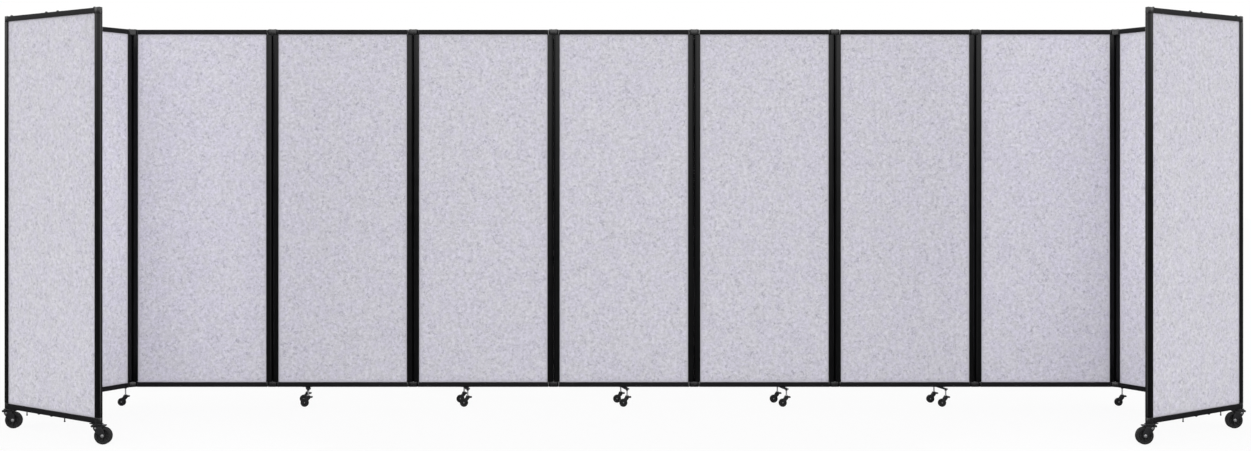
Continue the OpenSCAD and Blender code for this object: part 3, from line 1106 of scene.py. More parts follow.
@dataclass
class FeltBoard:
    """Pressed felt board with a flattened border and a slightly uneven surface.

    The border sinks by `sink` within `border` of the frame, and the rest swells and sinks by about `relief`,
    with `waves` turns of the noise in a metre.
    """

    panel: PanelSize
    width: float
    cell: float = 0.021
    border: float = 0.015
    sink: float = 0.0012
    relief: float = 0.00035
    waves: float = 22.0
    seed_step: float = 7.3

    def _lines(self, length: float) -> list[float]:
        """Places of the grid's lines along one side, closer at the border.

        Args:
            length: length of the side.

        Returns:
            The places in order.
        """
        edge = [0.0, *[self.panel.groove_depth + self.border * share for share in (0.25, 0.62, 1.0)]]
        inner = length - 2 * edge[-1]
        count = round(inner / self.cell)
        middle = [edge[-1] + inner * k / count for k in range(1, count)]
        return [*edge, *middle, *[length - x for x in reversed(edge)]]

    def mesh(self, seed: int) -> bpy.types.Mesh:
        """Builds the board in the panel's frame, from its low left corner.

        Args:
            seed: number that makes each board's surface its own.

        Returns:
            The mesh, with the attribute "border" at 1 on the flattened border.
        """
        panel = self.panel
        inset = panel.rail_height - panel.groove_depth
        xs, zs = self._lines(self.width), self._lines(panel.height - 2 * inset)
        half = panel.board_thickness / 2
        edge = panel.groove_depth + self.border
        shape = bmesh.new()
        layer = shape.verts.layers.float.new("border")
        grids = {}
        for side in (-1, 1):
            grid = []
            for x in xs:
                column = []
                for z in zs:
                    near = min(x, xs[-1] - x, z, zs[-1] - z)
                    press = min(max((edge - near) / (self.border * 0.75), 0.0), 1.0)
                    press = press * press * (3 - 2 * press)
                    spot = Vector((x * self.waves, z * self.waves, seed * self.seed_step + side))
                    bumps = self.relief * (noise.noise(spot) + 0.5 * noise.noise(spot * 2.3) - 0.8)
                    depth = half - self.sink * press + bumps * (1 - press)
                    vert = shape.verts.new((panel.cut + x, side * depth, panel.floor_gap + inset + z))
                    vert[layer] = press
                    column.append(vert)
                grid.append(column)
            for a in range(len(xs) - 1):
                for b in range(len(zs) - 1):
                    corners = [grid[a][b], grid[a + 1][b], grid[a + 1][b + 1], grid[a][b + 1]]
                    shape.faces.new(corners if side < 0 else corners[::-1])
            grids[side] = grid
        near, far = grids[-1], grids[1]
        right, top = len(xs) - 1, len(zs) - 1
        rim = [(a, 0) for a in range(right + 1)] + [(right, b) for b in range(1, top + 1)]
        rim += [(a, top) for a in range(right - 1, -1, -1)] + [(0, b) for b in range(top - 1, 0, -1)]
        for k, (a, b) in enumerate(rim):
            c, d = rim[(k + 1) % len(rim)]
            shape.faces.new([near[a][b], far[a][b], far[c][d], near[c][d]])
        bmesh.ops.recalc_face_normals(shape, faces=shape.faces)
        mesh = bpy.data.meshes.new("felt_board")
        shape.to_mesh(mesh)
        shape.free()
        soften(mesh, 50)
        return mesh


@dataclass
class PanelKit:
    """Builds a panel's frame and board, and what is fixed to them."""

    plan: RowPlan
    panel: PanelSize
    hinge: HingeSize
    palette: Palette
    repeater: Repeater
    dresser: Dresser
    fasteners: Fasteners = field(default_factory=Fasteners)
    screw_across: float = 0.0115

    def __post_init__(self) -> None:
        """Draws what every panel shares."""
        self.posts = self._posts()
        self.rails = self._rails()
        self.castings = self._castings()
        self.bushes = self._bushes()
        self.corner_screw = self.fasteners.cross_head("corner_screw", self.fasteners.screw_radius, 0.0002)
        self.plate_screw = self.fasteners.cross_head("plate_screw", self.fasteners.plate_screw_radius, 0.0011)
        self.button = self.fasteners.button()
        self.stud = self.fasteners.stud()

    def _posts(self) -> bpy.types.Mesh:
        """Both posts: a round nose, chamfered inner edges and the board's groove.

        The noses are drawn out until only a hair is left between a nose and the middle of the joint, because
        no light shows between the posts of the real thing.

        Returns:
            The mesh.
        """
        p = self.panel
        half, slot = p.half, p.board_thickness / 2
        stretch = 1 + (self.hinge.nose_gap / 2 - p.hair) / half
        outline = [(x * stretch, y) for x, y in arc((0, 0), half, 90, 270, 28)]
        outline += [(p.reach - p.chamfer, -half), (p.reach, p.chamfer - half),
                    (p.reach, -slot), (p.cut, -slot), (p.cut, slot), (p.reach, slot),
                    (p.reach, half - p.chamfer), (p.reach - p.chamfer, half)]
        drop = self.hinge.block_height + self.hinge.flange
        shape = Shape()
        for end in self.plan.ends:
            shape.prism(outline, p.floor_gap + drop, p.top - drop, end)
        return shape.data("posts", smooth=20)

    def _section(self, depth: float, slot_depth: float, chamfer: float) -> Outline:
        """Cross-section of a rail or a casting in Y and Z, below Z = 0.

        Args:
            depth: height of the section.
            slot_depth: depth of the slot for the board.
            chamfer: width of the chamfer on the edges beside the board, or 0.

        Returns:
            The outline.
        """
        p = self.panel
        half, slot, r = p.half, p.board_thickness / 2, p.rail_edge
        outline = [(slot, -depth), (half - chamfer, -depth), (half, chamfer - depth),
                   *arc((half - r, -r), r, 0, 90, 6), *arc((r - half, -r), r, 90, 180, 6),
                   (-half, chamfer - depth), (chamfer - half, -depth), (-slot, -depth),
                   (-slot, slot_depth - depth), (slot, slot_depth - depth)]
        return list(dict.fromkeys(outline))

    def _rails(self) -> bpy.types.Mesh:
        """Both rails.

        Returns:
            The mesh.
        """
        p = self.panel
        outline = self._section(p.rail_height, p.groove_depth, p.chamfer)
        shape = Shape()
        for level in p.levels:
            shape.prism(outline, p.reach + p.hair, self.plan.span - p.reach - p.hair, level @ ALONG_X)
        return shape.data("rails", smooth=20)

    def _castings(self) -> bpy.types.Mesh:
        """The four corner castings.

        Returns:
            The mesh.
        """
        p = self.panel
        height = self.hinge.block_height + self.hinge.flange
        outline = self._section(height, height - p.rail_height + p.groove_depth, 0.0)
        shape = Shape()
        for end in self.plan.ends:
            for level in p.levels:
                shape.prism(outline, p.cut + p.hair, p.reach, end @ level @ ALONG_X)
        return shape.data("castings", bevel=0.0005)

    def _bushes(self) -> bpy.types.Mesh:
        """The flanges of the four bushes, which show as thin lines under the link blocks.

        Returns:
            The mesh.
        """
        h = self.hinge
        low = -h.block_height - h.flange
        flange = [(h.bore, low), (h.bush, low), (h.bush, low + 0.0007), (h.bush - 0.0004, low + 0.001),
                  (h.bore, low + 0.001)]
        shape = Shape()
        for end in self.plan.ends:
            for level in self.panel.levels:
                shape.revolve(flange, 28, end @ level, ring=True)
        return shape.data("bushes")

    def _screw_spots(self) -> list[tuple[Vector, Vector]]:
        """Place and facing of the corner screws.

        Returns:
            Place and facing of each screw.
        """
        along = (self.panel.cut + self.panel.reach) / 2
        spots = []
        for end in self.plan.ends:
            for level, way in zip(self.panel.levels, (1, -1)):
                for side in (-1, 1):
                    spot = end @ level @ Vector((along, side * self.screw_across, 0))
                    spots.append((spot, Vector((0, 0, way))))
        return spots

    def build(self, number: int) -> None:
        """Builds one panel.

        Args:
            number: the panel's number, from 1 at the left end.
        """
        body = f"panel_{number:02d}"
        place = self.plan.panel_place(number)
        look = self.palette
        screws = self.repeater.on_points(self.corner_screw, self._screw_spots(), look.dark_steel)
        for part, mesh, finish, slot in (("posts", self.posts, look.coat, "frame_black"),
                                         ("rails", self.rails, look.rail_coat, "frame_black"),
                                         ("corner_castings", self.castings, look.cast, "link_grey"),
                                         ("bushes", self.bushes, look.nylon, "caster_black"),
                                         ("corner_screws", screws, look.dark_steel, "stud_metal")):
            self.dresser.piece(f"{body}_{part}", [(mesh, place)], finish, body, slot, f"{body}_frame")
        board = FeltBoard(self.panel, self.plan.span - 2 * self.panel.cut).mesh(number)
        self.dresser.piece(f"{body}_board", [(board, place)], look.felt, body, "felt", f"{body}_felt_board")
        log.info("panel %s built", number)


@dataclass
class LinkKit:
    """Builds the links between panels and the caps on free posts."""

    plan: RowPlan
    panel: PanelSize
    hinge: HingeSize
    palette: Palette
    dresser: Dresser

    def _pins(self, axes: list[float], level: Matrix, proud: bool) -> Shape:
        """Pins with domed heads.

        Args:
            axes: X of each pin.
            level: frame of the top or bottom of the row, with +Z pointing out of it.
            proud: whether the heads stand above the blocks.

        Returns:
            The shape.
        """
        h = self.hinge
        shape = Shape()
        r, t, rise = h.head_radius, h.head_height, h.rise
        low, c = -h.block_height - h.pin_reach, 0.0004
        shank = [(0, low), (h.pin - c, low), (h.pin, low + c)]
        head = [(h.pin, rise), (r, rise), (r, rise + t * 0.35), (r * 0.9, rise + t * 0.65),
                (r * 0.65, rise + t * 0.9), (r * 0.42, rise + t), (r * 0.36, rise + t * 0.95),
                (r * 0.30, rise + t * 0.4), (0, rise + t * 0.35)]
        flush = [(h.pin, -0.0003), (h.pin - c, 0.0), (0, 0.0)]
        for x in axes:
            shape.revolve([*shank, *(head if proud else flush)], 28, level @ Matrix.Translation((x, 0, 0)))
        return shape

    def _levels(self) -> list[tuple[Matrix, bool]]:
        """Places at the top and the bottom, and whether blocks stand proud there."""
        return list(zip(self.panel.levels, (True, False)))

    def build(self, number: int) -> None:
        """Builds one link.

        Args:
            number: the link's number, from 1 at the left end.
        """
        h = self.hinge
        body = f"hinge_{number:02d}"
        place = self.plan.link_place(number)
        blocks = Shape()
        pins = []
        for level, proud in self._levels():
            high = h.rise if proud else 0.0
            blocks.prism(stadium(self.plan.axis_gap, h.lobe), -h.block_height, high, level)
            pins.append((self._pins([0, self.plan.axis_gap], level, proud).data("pins"), place))
        mesh = blocks.data("blocks", bevel=0.0012, segments=3)
        add = self.dresser.piece
        add(f"{body}_blocks", [(mesh, place)], self.palette.cast, body, "link_grey", f"{body}_link")
        add(f"{body}_pins", pins, self.palette.dark_steel, body, "stud_metal", f"{body}_link")
        log.info("link %s built", number)

    def build_caps(self, number: int) -> None:
        """Builds the caps on the free post of an end panel.

        Args:
            number: the panel's number.
        """
        p, h = self.panel, self.hinge
        body = f"panel_{number:02d}"
        place = self.plan.panel_place(number) @ self.plan.end_place(number, Place.FREE)
        outline = arc((0, 0), p.half, 90, 270, 28) + [(p.cut, -p.half), (p.cut, p.half)]
        caps = Shape()
        pins = []
        for level, proud in self._levels():
            caps.prism(outline, -h.block_height, h.rise if proud else 0.0, level)
            pins.append((self._pins([0], level, proud).data("pins"), place))
        mesh = caps.data("caps", bevel=0.001, segments=3)
        add = self.dresser.piece
        add(f"{body}_end_caps", [(mesh, place)], self.palette.cast, body, "link_grey", f"{body}_frame")
        add(f"{body}_end_pins", pins, self.palette.dark_steel, body, "stud_metal", f"{body}_frame")


# ---------------- mounts


@dataclass(frozen=True)
class MountSize:
    """Sizes of what the casters are fixed to, in metres."""

    plate_top: float = 0.107
    plate_low: float = 0.103
    inset: float = 0.012
    plate_length: float = 0.066
    plate_width: float = 0.042
    plate_end: float = 0.020
    screws: tuple[float, float] = (0.040, 0.052)
    race: float = 0.021
    race_height: float = 0.003
    ball: float = 0.00105
    balls: int = 46
    ball_ring: float = 0.0186
    kingpin: float = 0.005
    kingpin_bore: float = 0.0052
    collar: float = 0.0923
    stem_bore: float = 0.0041
    bar_width: float = 0.028
    bar_screw: float = 0.009
    socket: float = 0.007
    socket_height: float = 0.007
    pair_reach: float = 0.072
    pair_shift: float = 0.019
    pair_step: float = 0.105
    single_inset: float = 0.030


@dataclass
class MountKit:
    """Builds plates, cross bars and sockets under the panels, and the fittings of the end panels."""

    kit: PanelKit
    size: MountSize = MountSize()
    low_buttons: tuple[float, ...] = (0.288, 0.400)
    studs: tuple[float, ...] = (0.180, 0.515)
    top_button: float = 0.040
    top_pair: float = 0.050

    def pair_along(self, panel: int) -> float:
        """Distance of a pair's middle from its panel's left axis."""
        plan = self.kit.plan
        return plan.span / 2 + (panel - plan.middle) * self.size.pair_step

    def single_along(self, panel: int) -> float:
        """Distance of a single caster's stem from its panel's left axis."""
        plan = self.kit.plan
        return plan.span - self.size.single_inset if panel == 2 else self.size.single_inset

    def large_mount(self, number: int, place: Place) -> None:
        """Builds the plate, race, bearing balls, kingpin and screws of one large caster.

        Args:
            number: the end panel's number.
            place: which end of it.
        """
        kit, m, p = self.kit, self.size, self.kit.panel
        body = f"panel_{number:02d}"
        name = f"{body}_{place.value}_mount"
        where = kit.plan.panel_place(number) @ kit.plan.end_place(number, place)
        stem = where @ Matrix.Translation((m.inset, 0, 0))
        half = m.plate_width / 2
        start, end = m.inset - m.plate_end, m.inset - m.plate_end + m.plate_length
        outline = rounded_box((start, -half), (end, half), 0.005)
        plate = Shape().prism(outline, m.plate_low, m.plate_top - p.hair).data("plate", bevel=0.0007)
        pad = Shape().box((p.reach, -p.board_thickness / 2, m.plate_top),
                          (end, p.board_thickness / 2, p.floor_gap - p.hair)).data("pad", bevel=0.0002)
        low = m.plate_low - m.race_height
        spots = [(Vector((x, 0, m.plate_low)), Vector((0, 0, -1))) for x in m.screws]
        screws = kit.repeater.on_points(kit.plate_screw, spots, kit.palette.steel)
        lift = Matrix.Translation((0, 0, low + 0.00125))
        look = kit.palette
        for part, meshes, finish, slot in (
                ("plate", [(plate, where), (self._race(low), stem)], look.paint, "caster_black"),
                ("pad", [(pad, where)], look.nylon, "caster_black"),
                ("balls", [(self._balls(), stem @ lift)], look.steel, "stud_metal"),
                ("kingpin", [(self._kingpin(), stem)], look.dark_steel, "stud_metal"),
                ("screws", [(screws, where)], look.steel, "stud_metal")):
            kit.dresser.piece(f"{name}_{part}", meshes, finish, body, slot, f"{body}_frame")

    def _race(self, low: float) -> bpy.types.Mesh:
        """Upper race of a large caster.

        Args:
            low: its lowest height.

        Returns:
            The mesh.
        """
        m = self.size
        cup = [(m.kingpin_bore, low + 0.0002), (0.0168, low + 0.0002), (0.0168, low + 0.0023),
               (0.0203, low + 0.0023), (m.race, low + 0.0016), (m.race, m.plate_low - 0.0004),
               (m.race - 0.0006, m.plate_low + 0.0005), (m.kingpin_bore, m.plate_low + 0.0005)]
        return Shape().revolve(cup, 48, ring=True).data("race")

    def _balls(self) -> bpy.types.Mesh:
        """Ring of bearing balls.

        Returns:
            The mesh.
        """
        ball = bmesh.new()
        bmesh.ops.create_icosphere(ball, subdivisions=2, radius=self.size.ball)
        mesh = bpy.data.meshes.new("ball")
        ball.to_mesh(mesh)
        ball.free()
        mesh.shade_smooth()
        return self.kit.repeater.ring(mesh, self.size.balls, self.size.ball_ring, self.kit.palette.steel)

    def _kingpin(self) -> bpy.types.Mesh:
        """Kingpin with its collar under the fork's crown.

        Returns:
            The mesh.
        """
        m = self.size
        low, top = m.collar, m.plate_top - self.kit.panel.hair
        pin = [(0, low - 0.002), (0.0035, low - 0.002), (0.0072, low - 0.0019), (0.008, low - 0.0012),
               (0.008, low - 0.0003), (0.0077, low), (m.kingpin, low), (m.kingpin, m.plate_top - 0.0008),
               (m.kingpin - 0.0008, top), (0, top)]
        return Shape().revolve(pin, 32).data("kingpin")

    def pair_bar(self, number: int) -> None:
        """Builds the cross bar of a pair of small casters under a panel.

        Args:
            number: the panel's number.
        """
        kit, m, p = self.kit, self.size, self.kit.panel
        body = f"panel_{number:02d}"
        node = f"{body}_frame"
        middle = kit.plan.panel_place(number) @ Matrix.Translation((self.pair_along(number), 0, 0))
        where = middle @ Matrix.Rotation(math.atan2(-m.pair_reach, m.pair_shift), 4, "Z")
        half = math.hypot(m.pair_reach, m.pair_shift)
        bar = Shape().prism(stadium(2 * half, m.bar_width / 2, 24), m.plate_low, m.plate_top - p.hair,
                            Matrix.Translation((-half, 0, 0)))
        low = m.plate_low - m.socket_height
        cup = [(m.stem_bore, low), (m.socket - 0.0008, low), (m.socket, low + 0.0008),
               (m.socket, m.plate_low - 0.001), (m.socket + 0.0012, m.plate_low),
               (m.socket + 0.0012, m.plate_low + 0.0005), (m.stem_bore, m.plate_low + 0.0005)]
        socket = Shape().revolve(cup, 32, ring=True).data("socket")
        sockets = [(socket, where @ Matrix.Translation((side * half, 0, 0))) for side in (-1, 1)]
        across = p.board_thickness / 2 + 0.004
        pad = Shape().box((-m.bar_width, -across, m.plate_top), (m.bar_width, across, p.floor_gap - p.hair))
        spots = [(Vector((side * m.bar_screw, 0, m.plate_low)), Vector((0, 0, -1))) for side in (-1, 1)]
        screws = kit.repeater.on_points(kit.plate_screw, spots, kit.palette.steel)
        parts = [(bar.data("bar", bevel=0.0007), where), *sockets]
        pads = [(pad.data("pad", bevel=0.0002), middle)]
        add, look = kit.dresser.piece, kit.palette
        add(f"{body}_cross_bar", parts, look.paint, body, "caster_black", node)
        add(f"{body}_bar_pad", pads, look.nylon, body, "caster_black", node)
        add(f"{body}_bar_screws", [(screws, where)], look.steel, body, "stud_metal", node)

    def single_socket(self, number: int) -> None:
        """Builds the socket of a single small caster in a panel's bottom rail.

        Args:
            number: the panel's number.
        """
        kit, m, p = self.kit, self.size, self.kit.panel
        body = f"panel_{number:02d}"
        where = kit.plan.panel_place(number) @ Matrix.Translation((self.single_along(number), 0, 0))
        cup = [(m.stem_bore, m.plate_low), (m.socket - 0.0007, m.plate_low), (m.socket, m.plate_low + 0.0007),
               (m.socket, p.floor_gap + 0.002), (m.stem_bore, p.floor_gap + 0.002)]
        mesh = Shape().revolve(cup, 32, ring=True).data("socket")
        kit.dresser.piece(f"{body}_stem_socket", [(mesh, where)], kit.palette.paint, body, "caster_black",
                          f"{body}_frame")

    def fittings(self, number: int) -> None:
        """Builds the buttons and studs on an end panel's rails.

        Args:
            number: the end panel's number.
        """
        kit, p, span = self.kit, self.kit.panel, self.kit.plan.span
        body = f"panel_{number:02d}"
        where = kit.plan.panel_place(number) @ kit.plan.end_place(number, Place.HINGE)
        insets = (self.top_button, span / 2 - self.top_pair)
        tops = [u for inset in insets for u in (inset, span - inset)]
        for part, item, places, height, way in (
                ("top_buttons", kit.button, tops, p.top, 1),
                ("low_buttons", kit.button, self.low_buttons, p.floor_gap, -1),
                ("studs", kit.stud, self.studs, p.floor_gap, -1)):
            spots = [(Vector((u, 0, height)), Vector((0, 0, way))) for u in places]
            copies = kit.repeater.on_points(item, spots, kit.palette.paint)
            kit.dresser.piece(f"{body}_{part}", [(copies, where)], kit.palette.paint, body, "stud_metal",
                              f"{body}_rail_studs")


# ---------------- casters


def cross_bolt(reach: float, shank: float, hexagon: float, washer: float) -> Shape:
    """Bolt along Y through both legs of a fork, with a washer and a six-sided head or nut on each side.

    Args:
        reach: distance of a leg's outer face from the middle.
        shank: radius of the shank.
        hexagon: radius of the head's corners.
        washer: radius of the washer.

    Returns:
        The shape.
    """
    shape = Shape()
    thick, top = 0.0008, reach + hexagon / 2
    shape.revolve([(0, -reach), (shank, -reach), (shank, reach), (0, reach)], 24, ALONG_Y)
    head = arc((0, 0), hexagon, 0, 300, 5)
    dome = [(0, top), (shank, top), (shank, top + 0.001), (shank * 0.7, top + 0.0016), (0, top + 0.0017)]
    for turn in BOTH_SIDES:
        side = turn @ ALONG_Y
        shape.revolve([(0, reach), (washer, reach), (washer, reach + thick), (0, reach + thick)], 32, side)
        shape.prism(head, reach + thick, top, side)
        shape.revolve(dome, 24, side)
    return shape


def fork_legs(outline: Outline, inner: float, thick: float) -> Shape:
    """Both legs of a fork.

    Args:
        outline: outline of a leg in X and Z.
        inner: distance of a leg's inner face from the middle.
        thick: thickness of a leg.

    Returns:
        The shape.
    """
    shape = Shape()
    for low in (inner, -inner - thick):
        shape.prism(outline, low, low + thick, ALONG_Y)
    return shape


@dataclass(frozen=True)
class WheelSize:
    """Sizes of a wheel, in metres."""

    radius: float
    width: float
    tyre: float
    rim: float
    core_width: float
    web: float
    hub: float
    hub_length: float
    bore: float
    ribs: int
    grooves: tuple[float, ...]
    rib: float = 0.0016
    chamfer: float = 0.0006
    hair: float = 0.00003

    def tyre_mesh(self) -> bpy.types.Mesh:
        """Tyre with round shoulders and fine grooves round the tread.

        Returns:
            The mesh.
        """
        inner, half, shoulder = self.radius - self.tyre, self.width / 2, self.tyre / 2
        low = arc((self.radius - shoulder, shoulder - half), shoulder, -90, 0, 7)
        high = arc((self.radius - shoulder, half - shoulder), shoulder, 0, 90, 7)
        tread = []
        for at in self.grooves:
            tread += [(self.radius, at - 0.0007), (self.radius - 0.0008, at - 0.0003),
                      (self.radius - 0.0008, at + 0.0003), (self.radius, at + 0.0007)]
        sidewall = inner + self.tyre * 0.35
        ring = [(inner, -half + 0.0006), (sidewall, -half + 0.0006), (sidewall + 0.0004, -half),
                *low, *tread, *high,
                (sidewall + 0.0004, half), (sidewall, half - 0.0006), (inner, half - 0.0006)]
        return Shape().revolve(ring, 72, ALONG_Y, ring=True).data("tyre", smooth=30)

    def core_mesh(self, repeater: Repeater, finish: bpy.types.Material) -> bpy.types.Mesh:
        """Core with a hub, a dished web with ribs, and a rim.

        Args:
            repeater: it turns the ribs round the hub.
            finish: material of the core.

        Returns:
            The mesh.
        """
        inner, c = self.radius - self.tyre - self.hair, self.chamfer
        seat, half, web, hub = inner - self.rim, self.core_width / 2, self.web / 2, self.hub_length / 2
        ring = [(self.bore, -hub), (self.hub - c, -hub), (self.hub, c - hub), (self.hub, -web),
                (seat, -web), (seat, 2 * c - half), (seat + c, -half), (inner - c, -half),
                (inner, c - half), (inner, half - c), (inner - c, half), (seat + c, half),
                (seat, half - 2 * c), (seat, web), (self.hub, web), (self.hub, hub - c),
                (self.hub - c, hub), (self.bore, hub)]
        core = Shape().revolve(ring, 72, ring=True).data("core", bevel=0.0005)
        length, tall = seat - self.hub + 0.001, half * 0.8
        rib = Shape().prism([(-length / 2, -tall), (length / 2, -half * 0.95), (length / 2, half * 0.95),
                             (-length / 2, tall)], -self.rib / 2, self.rib / 2, ALONG_Y)
        ribs = repeater.ring(rib.data("rib", bevel=0.0003), self.ribs, (seat + self.hub) / 2, finish)
        joined = bmesh.new()
        joined.from_mesh(core)
        joined.from_mesh(ribs)
        joined.transform(ALONG_Y)
        joined.to_mesh(core)
        joined.free()
        return core


@dataclass(frozen=True)
class LargeSize:
    """Sizes of a large caster, in metres and degrees."""

    trail: float = 0.028
    crown_low: float = 0.0925
    crown_top: float = 0.0998
    crown_plate: float = 0.006
    crown_front: float = 0.020
    crown_back: float = 0.036
    leg: float = 0.003
    leg_inner: float = 0.015
    leg_back: float = 0.026
    waist_front: tuple[float, float] = (-0.014, 0.068)
    waist_back: tuple[float, float] = (0.040, 0.070)
    eye: float = 0.012
    axle: float = 0.004
    tail: float = 0.004
    pedal: tuple[float, float] = (-0.008, 0.084)
    pedal_width: float = 0.022
    pedal_hub: float = 0.006
    pedal_pin: float = 0.003
    arm: float = 0.022
    arm_half: float = 0.0025
    arm_rise: float = 153.0
    tip: float = 0.0065
    ridges: int = 4
    ridge_step: float = 0.0025
    shoe: float = 0.009
    shoe_radius: float = 0.0025
    shoe_angle: float = -99.0


@dataclass
class LargeCaster:
    """Builds the fork, wheel and pedal of the large casters."""

    kit: PanelKit
    mount: MountSize
    size: LargeSize = LargeSize()
    wheel: WheelSize = WheelSize(
        radius=0.045, width=0.026, tyre=0.008, rim=0.005, core_width=0.024, web=0.005, hub=0.010,
        hub_length=0.0296, bore=0.00405, ribs=8, grooves=(-0.004, 0.004))

    def __post_init__(self) -> None:
        """Draws what every large caster shares."""
        self.axle = Matrix.Translation((self.size.trail, 0, self.wheel.radius))
        self.fork = self._fork()
        self.bolts = self._bolts()
        self.tyre = self.wheel.tyre_mesh()
        self.core = self.wheel.core_mesh(self.kit.repeater, self.kit.palette.plastic)
        self.pedal = self._pedal()
        self.ridges = self._ridges()

    def _leg(self) -> Outline:
        """Outline of a leg in X and Z, waisted between the crown and the axle.

        Returns:
            The outline.
        """
        s, r = self.size, self.wheel.radius
        front, back = (-s.crown_front, s.crown_top - 0.016), (s.leg_back, s.crown_top - 0.014)
        eye = arc((s.trail, r), s.eye, 205, 370, 22)
        outline = [(-s.crown_front, s.crown_top - 0.0006)]
        outline += self._bend(front, s.waist_front, eye[0])
        outline += eye[1:-1]
        outline += self._bend(eye[-1], s.waist_back, back)
        return outline + [(s.leg_back, s.crown_top - 0.0006)]

    @staticmethod
    def _bend(start: tuple[float, float], control: tuple[float, float], end: tuple[float, float]) -> Outline:
        """Smooth bend from one point to another, drawn towards a control point."""
        weights = [((1 - k / 10) ** 2, 2 * k / 10 * (1 - k / 10), (k / 10) ** 2) for k in range(11)]
        return [tuple(a * u + b * v + c * w for a, b, c in zip(start, control, end)) for u, v, w in weights]

    def _fork(self) -> bpy.types.Mesh:
        """Pressed fork: two legs, a crown with a rolled tail, and a boss for the kingpin.

        Returns:
            The mesh.
        """
        s, bore = self.size, self.mount.kingpin_bore
        reach = s.leg_inner + s.leg
        shape = fork_legs(self._leg(), s.leg_inner, s.leg)
        crown = rounded_box((-s.crown_front, -reach), (s.crown_back, reach), 0.003)
        shape.prism(crown, s.crown_top - s.crown_plate, s.crown_top)
        boss = [(bore, s.crown_low), (s.leg_inner - 0.002, s.crown_low), (s.leg_inner, s.crown_low + 0.002),
                (s.leg_inner, s.crown_top - 0.001), (bore, s.crown_top - 0.001)]
        shape.revolve(boss, 32, ring=True)
        tail = Matrix.Translation((s.crown_back, 0, s.crown_top - s.tail)) @ ALONG_Y
        shape.revolve([(0, -reach), (s.tail, -reach), (s.tail, reach), (0, reach)], 28, tail)
        return shape.data("fork", bevel=0.0008, segments=3)

    def _bolts(self) -> list[tuple[bpy.types.Mesh, Matrix]]:
        """Axle bolt and pedal pin.

        Returns:
            Each mesh and its place in the caster.
        """
        s = self.size
        reach = s.leg_inner + s.leg
        axle = cross_bolt(reach, s.axle, 0.007, 0.0088).data("axle_bolt", bevel=0.0003)
        pin = cross_bolt(reach, s.pedal_pin, 0.0045, 0.0056).data("pin", bevel=0.0002)
        return [(axle, self.axle), (pin, Matrix.Translation((s.pedal[0], 0, s.pedal[1])))]

    def _pedal(self) -> bpy.types.Mesh:
        """Pedal: a hub, an arm that thickens to its tip, and a brake shoe.

        Returns:
            The mesh.
        """
        s, half = self.size, self.size.pedal_width / 2
        hub = arc((0, 0), s.pedal_hub, 0, 345, 23)
        arm = [(0.002, -s.arm_half), (s.arm * 0.7, -0.0024), *arc((s.arm, 0), s.tip, -100, 100, 14),
               (s.arm * 0.7, 0.0024), (0.002, s.arm_half)]
        shoe = [(0, -s.shoe_radius), *arc((s.shoe - s.shoe_radius, 0), s.shoe_radius, -90, 90, 8),
                (0, s.shoe_radius)]
        where = Matrix.Translation((s.pedal[0], 0, s.pedal[1])) @ ALONG_Y
        shape = Shape()
        for outline, angle in ((hub, 0.0), (arm, s.arm_rise), (shoe, s.shoe_angle)):
            shape.prism(outline, -half, half, where @ Matrix.Rotation(math.radians(angle), 4, "Z"))
        return shape.data("pedal", bevel=0.0007, segments=3)

    def _ridges(self) -> bpy.types.Mesh:
        """Ridges across the pedal's arm.

        Returns:
            The mesh.
        """
        s = self.size
        rise = math.radians(s.arm_rise)
        half = s.pedal_width / 2 - 0.002
        ridge = Shape().prism(rounded_box((-0.0005, -0.0005), (0.0005, 0.0009), 0.0003), -half, half, ALONG_Y)
        along = Vector((math.cos(rise), 0, math.sin(rise)))
        over = Vector((math.sin(rise), 0, -math.cos(rise)))
        base = Vector((s.pedal[0], 0, s.pedal[1])) + along * s.arm * 0.3 + over * s.arm_half
        return self.kit.repeater.row(ridge.data("ridge"), s.ridges, tuple(base), tuple(along * s.ridge_step),
                                     self.kit.palette.plastic)

    def build(self, number: int, place: Place) -> None:
        """Builds one caster.

        Args:
            number: the end panel's number.
            place: which end of it.
        """
        kit = self.kit
        along = (kit.plan.end_place(number, place) @ Vector((self.mount.inset, 0, 0))).x
        where = kit.plan.stem_place(number, along, 0.0, 0.0 if number == 1 else 180.0)
        name = f"panel_{number:02d}_{place.value}_caster"
        look = kit.palette
        bolts = [(mesh, where @ local) for mesh, local in self.bolts]
        pedal = [(self.pedal, where), (self.ridges, where)]
        for part, meshes, finish, node, slot in (
                ("pressed_fork", [(self.fork, where)], look.paint, "fork", "caster_black"),
                ("bolts", bolts, look.worn_steel, "fork", "caster_black"),
                ("tyre", [(self.tyre, where @ self.axle)], look.rubber, "wheel", "wheel_black"),
                ("core", [(self.core, where @ self.axle)], look.plastic, "wheel", "wheel_black"),
                ("brake_pedal", pedal, look.plastic, "pedal", "pedal_black")):
            kit.dresser.piece(f"{name}_{part}", meshes, finish, f"{name}_{node}", slot, f"{name}_{node}")
        log.info("%s built", name)


@dataclass(frozen=True)
class SmallSize:
    """Sizes of a small caster, in metres."""

    trail: float = 0.022
    hood_low: float = 0.051
    hood_top: float = 0.066
    hood: float = 0.012
    stem: float = 0.004
    stem_top: float = 0.1058
    nut: float = 0.0068
    nut_height: float = 0.0042
    leg: float = 0.002
    leg_inner: float = 0.0075
    eye: float = 0.009
    toe: float = 0.020
    toe_radius: float = 0.005
    axle: float = 0.0025


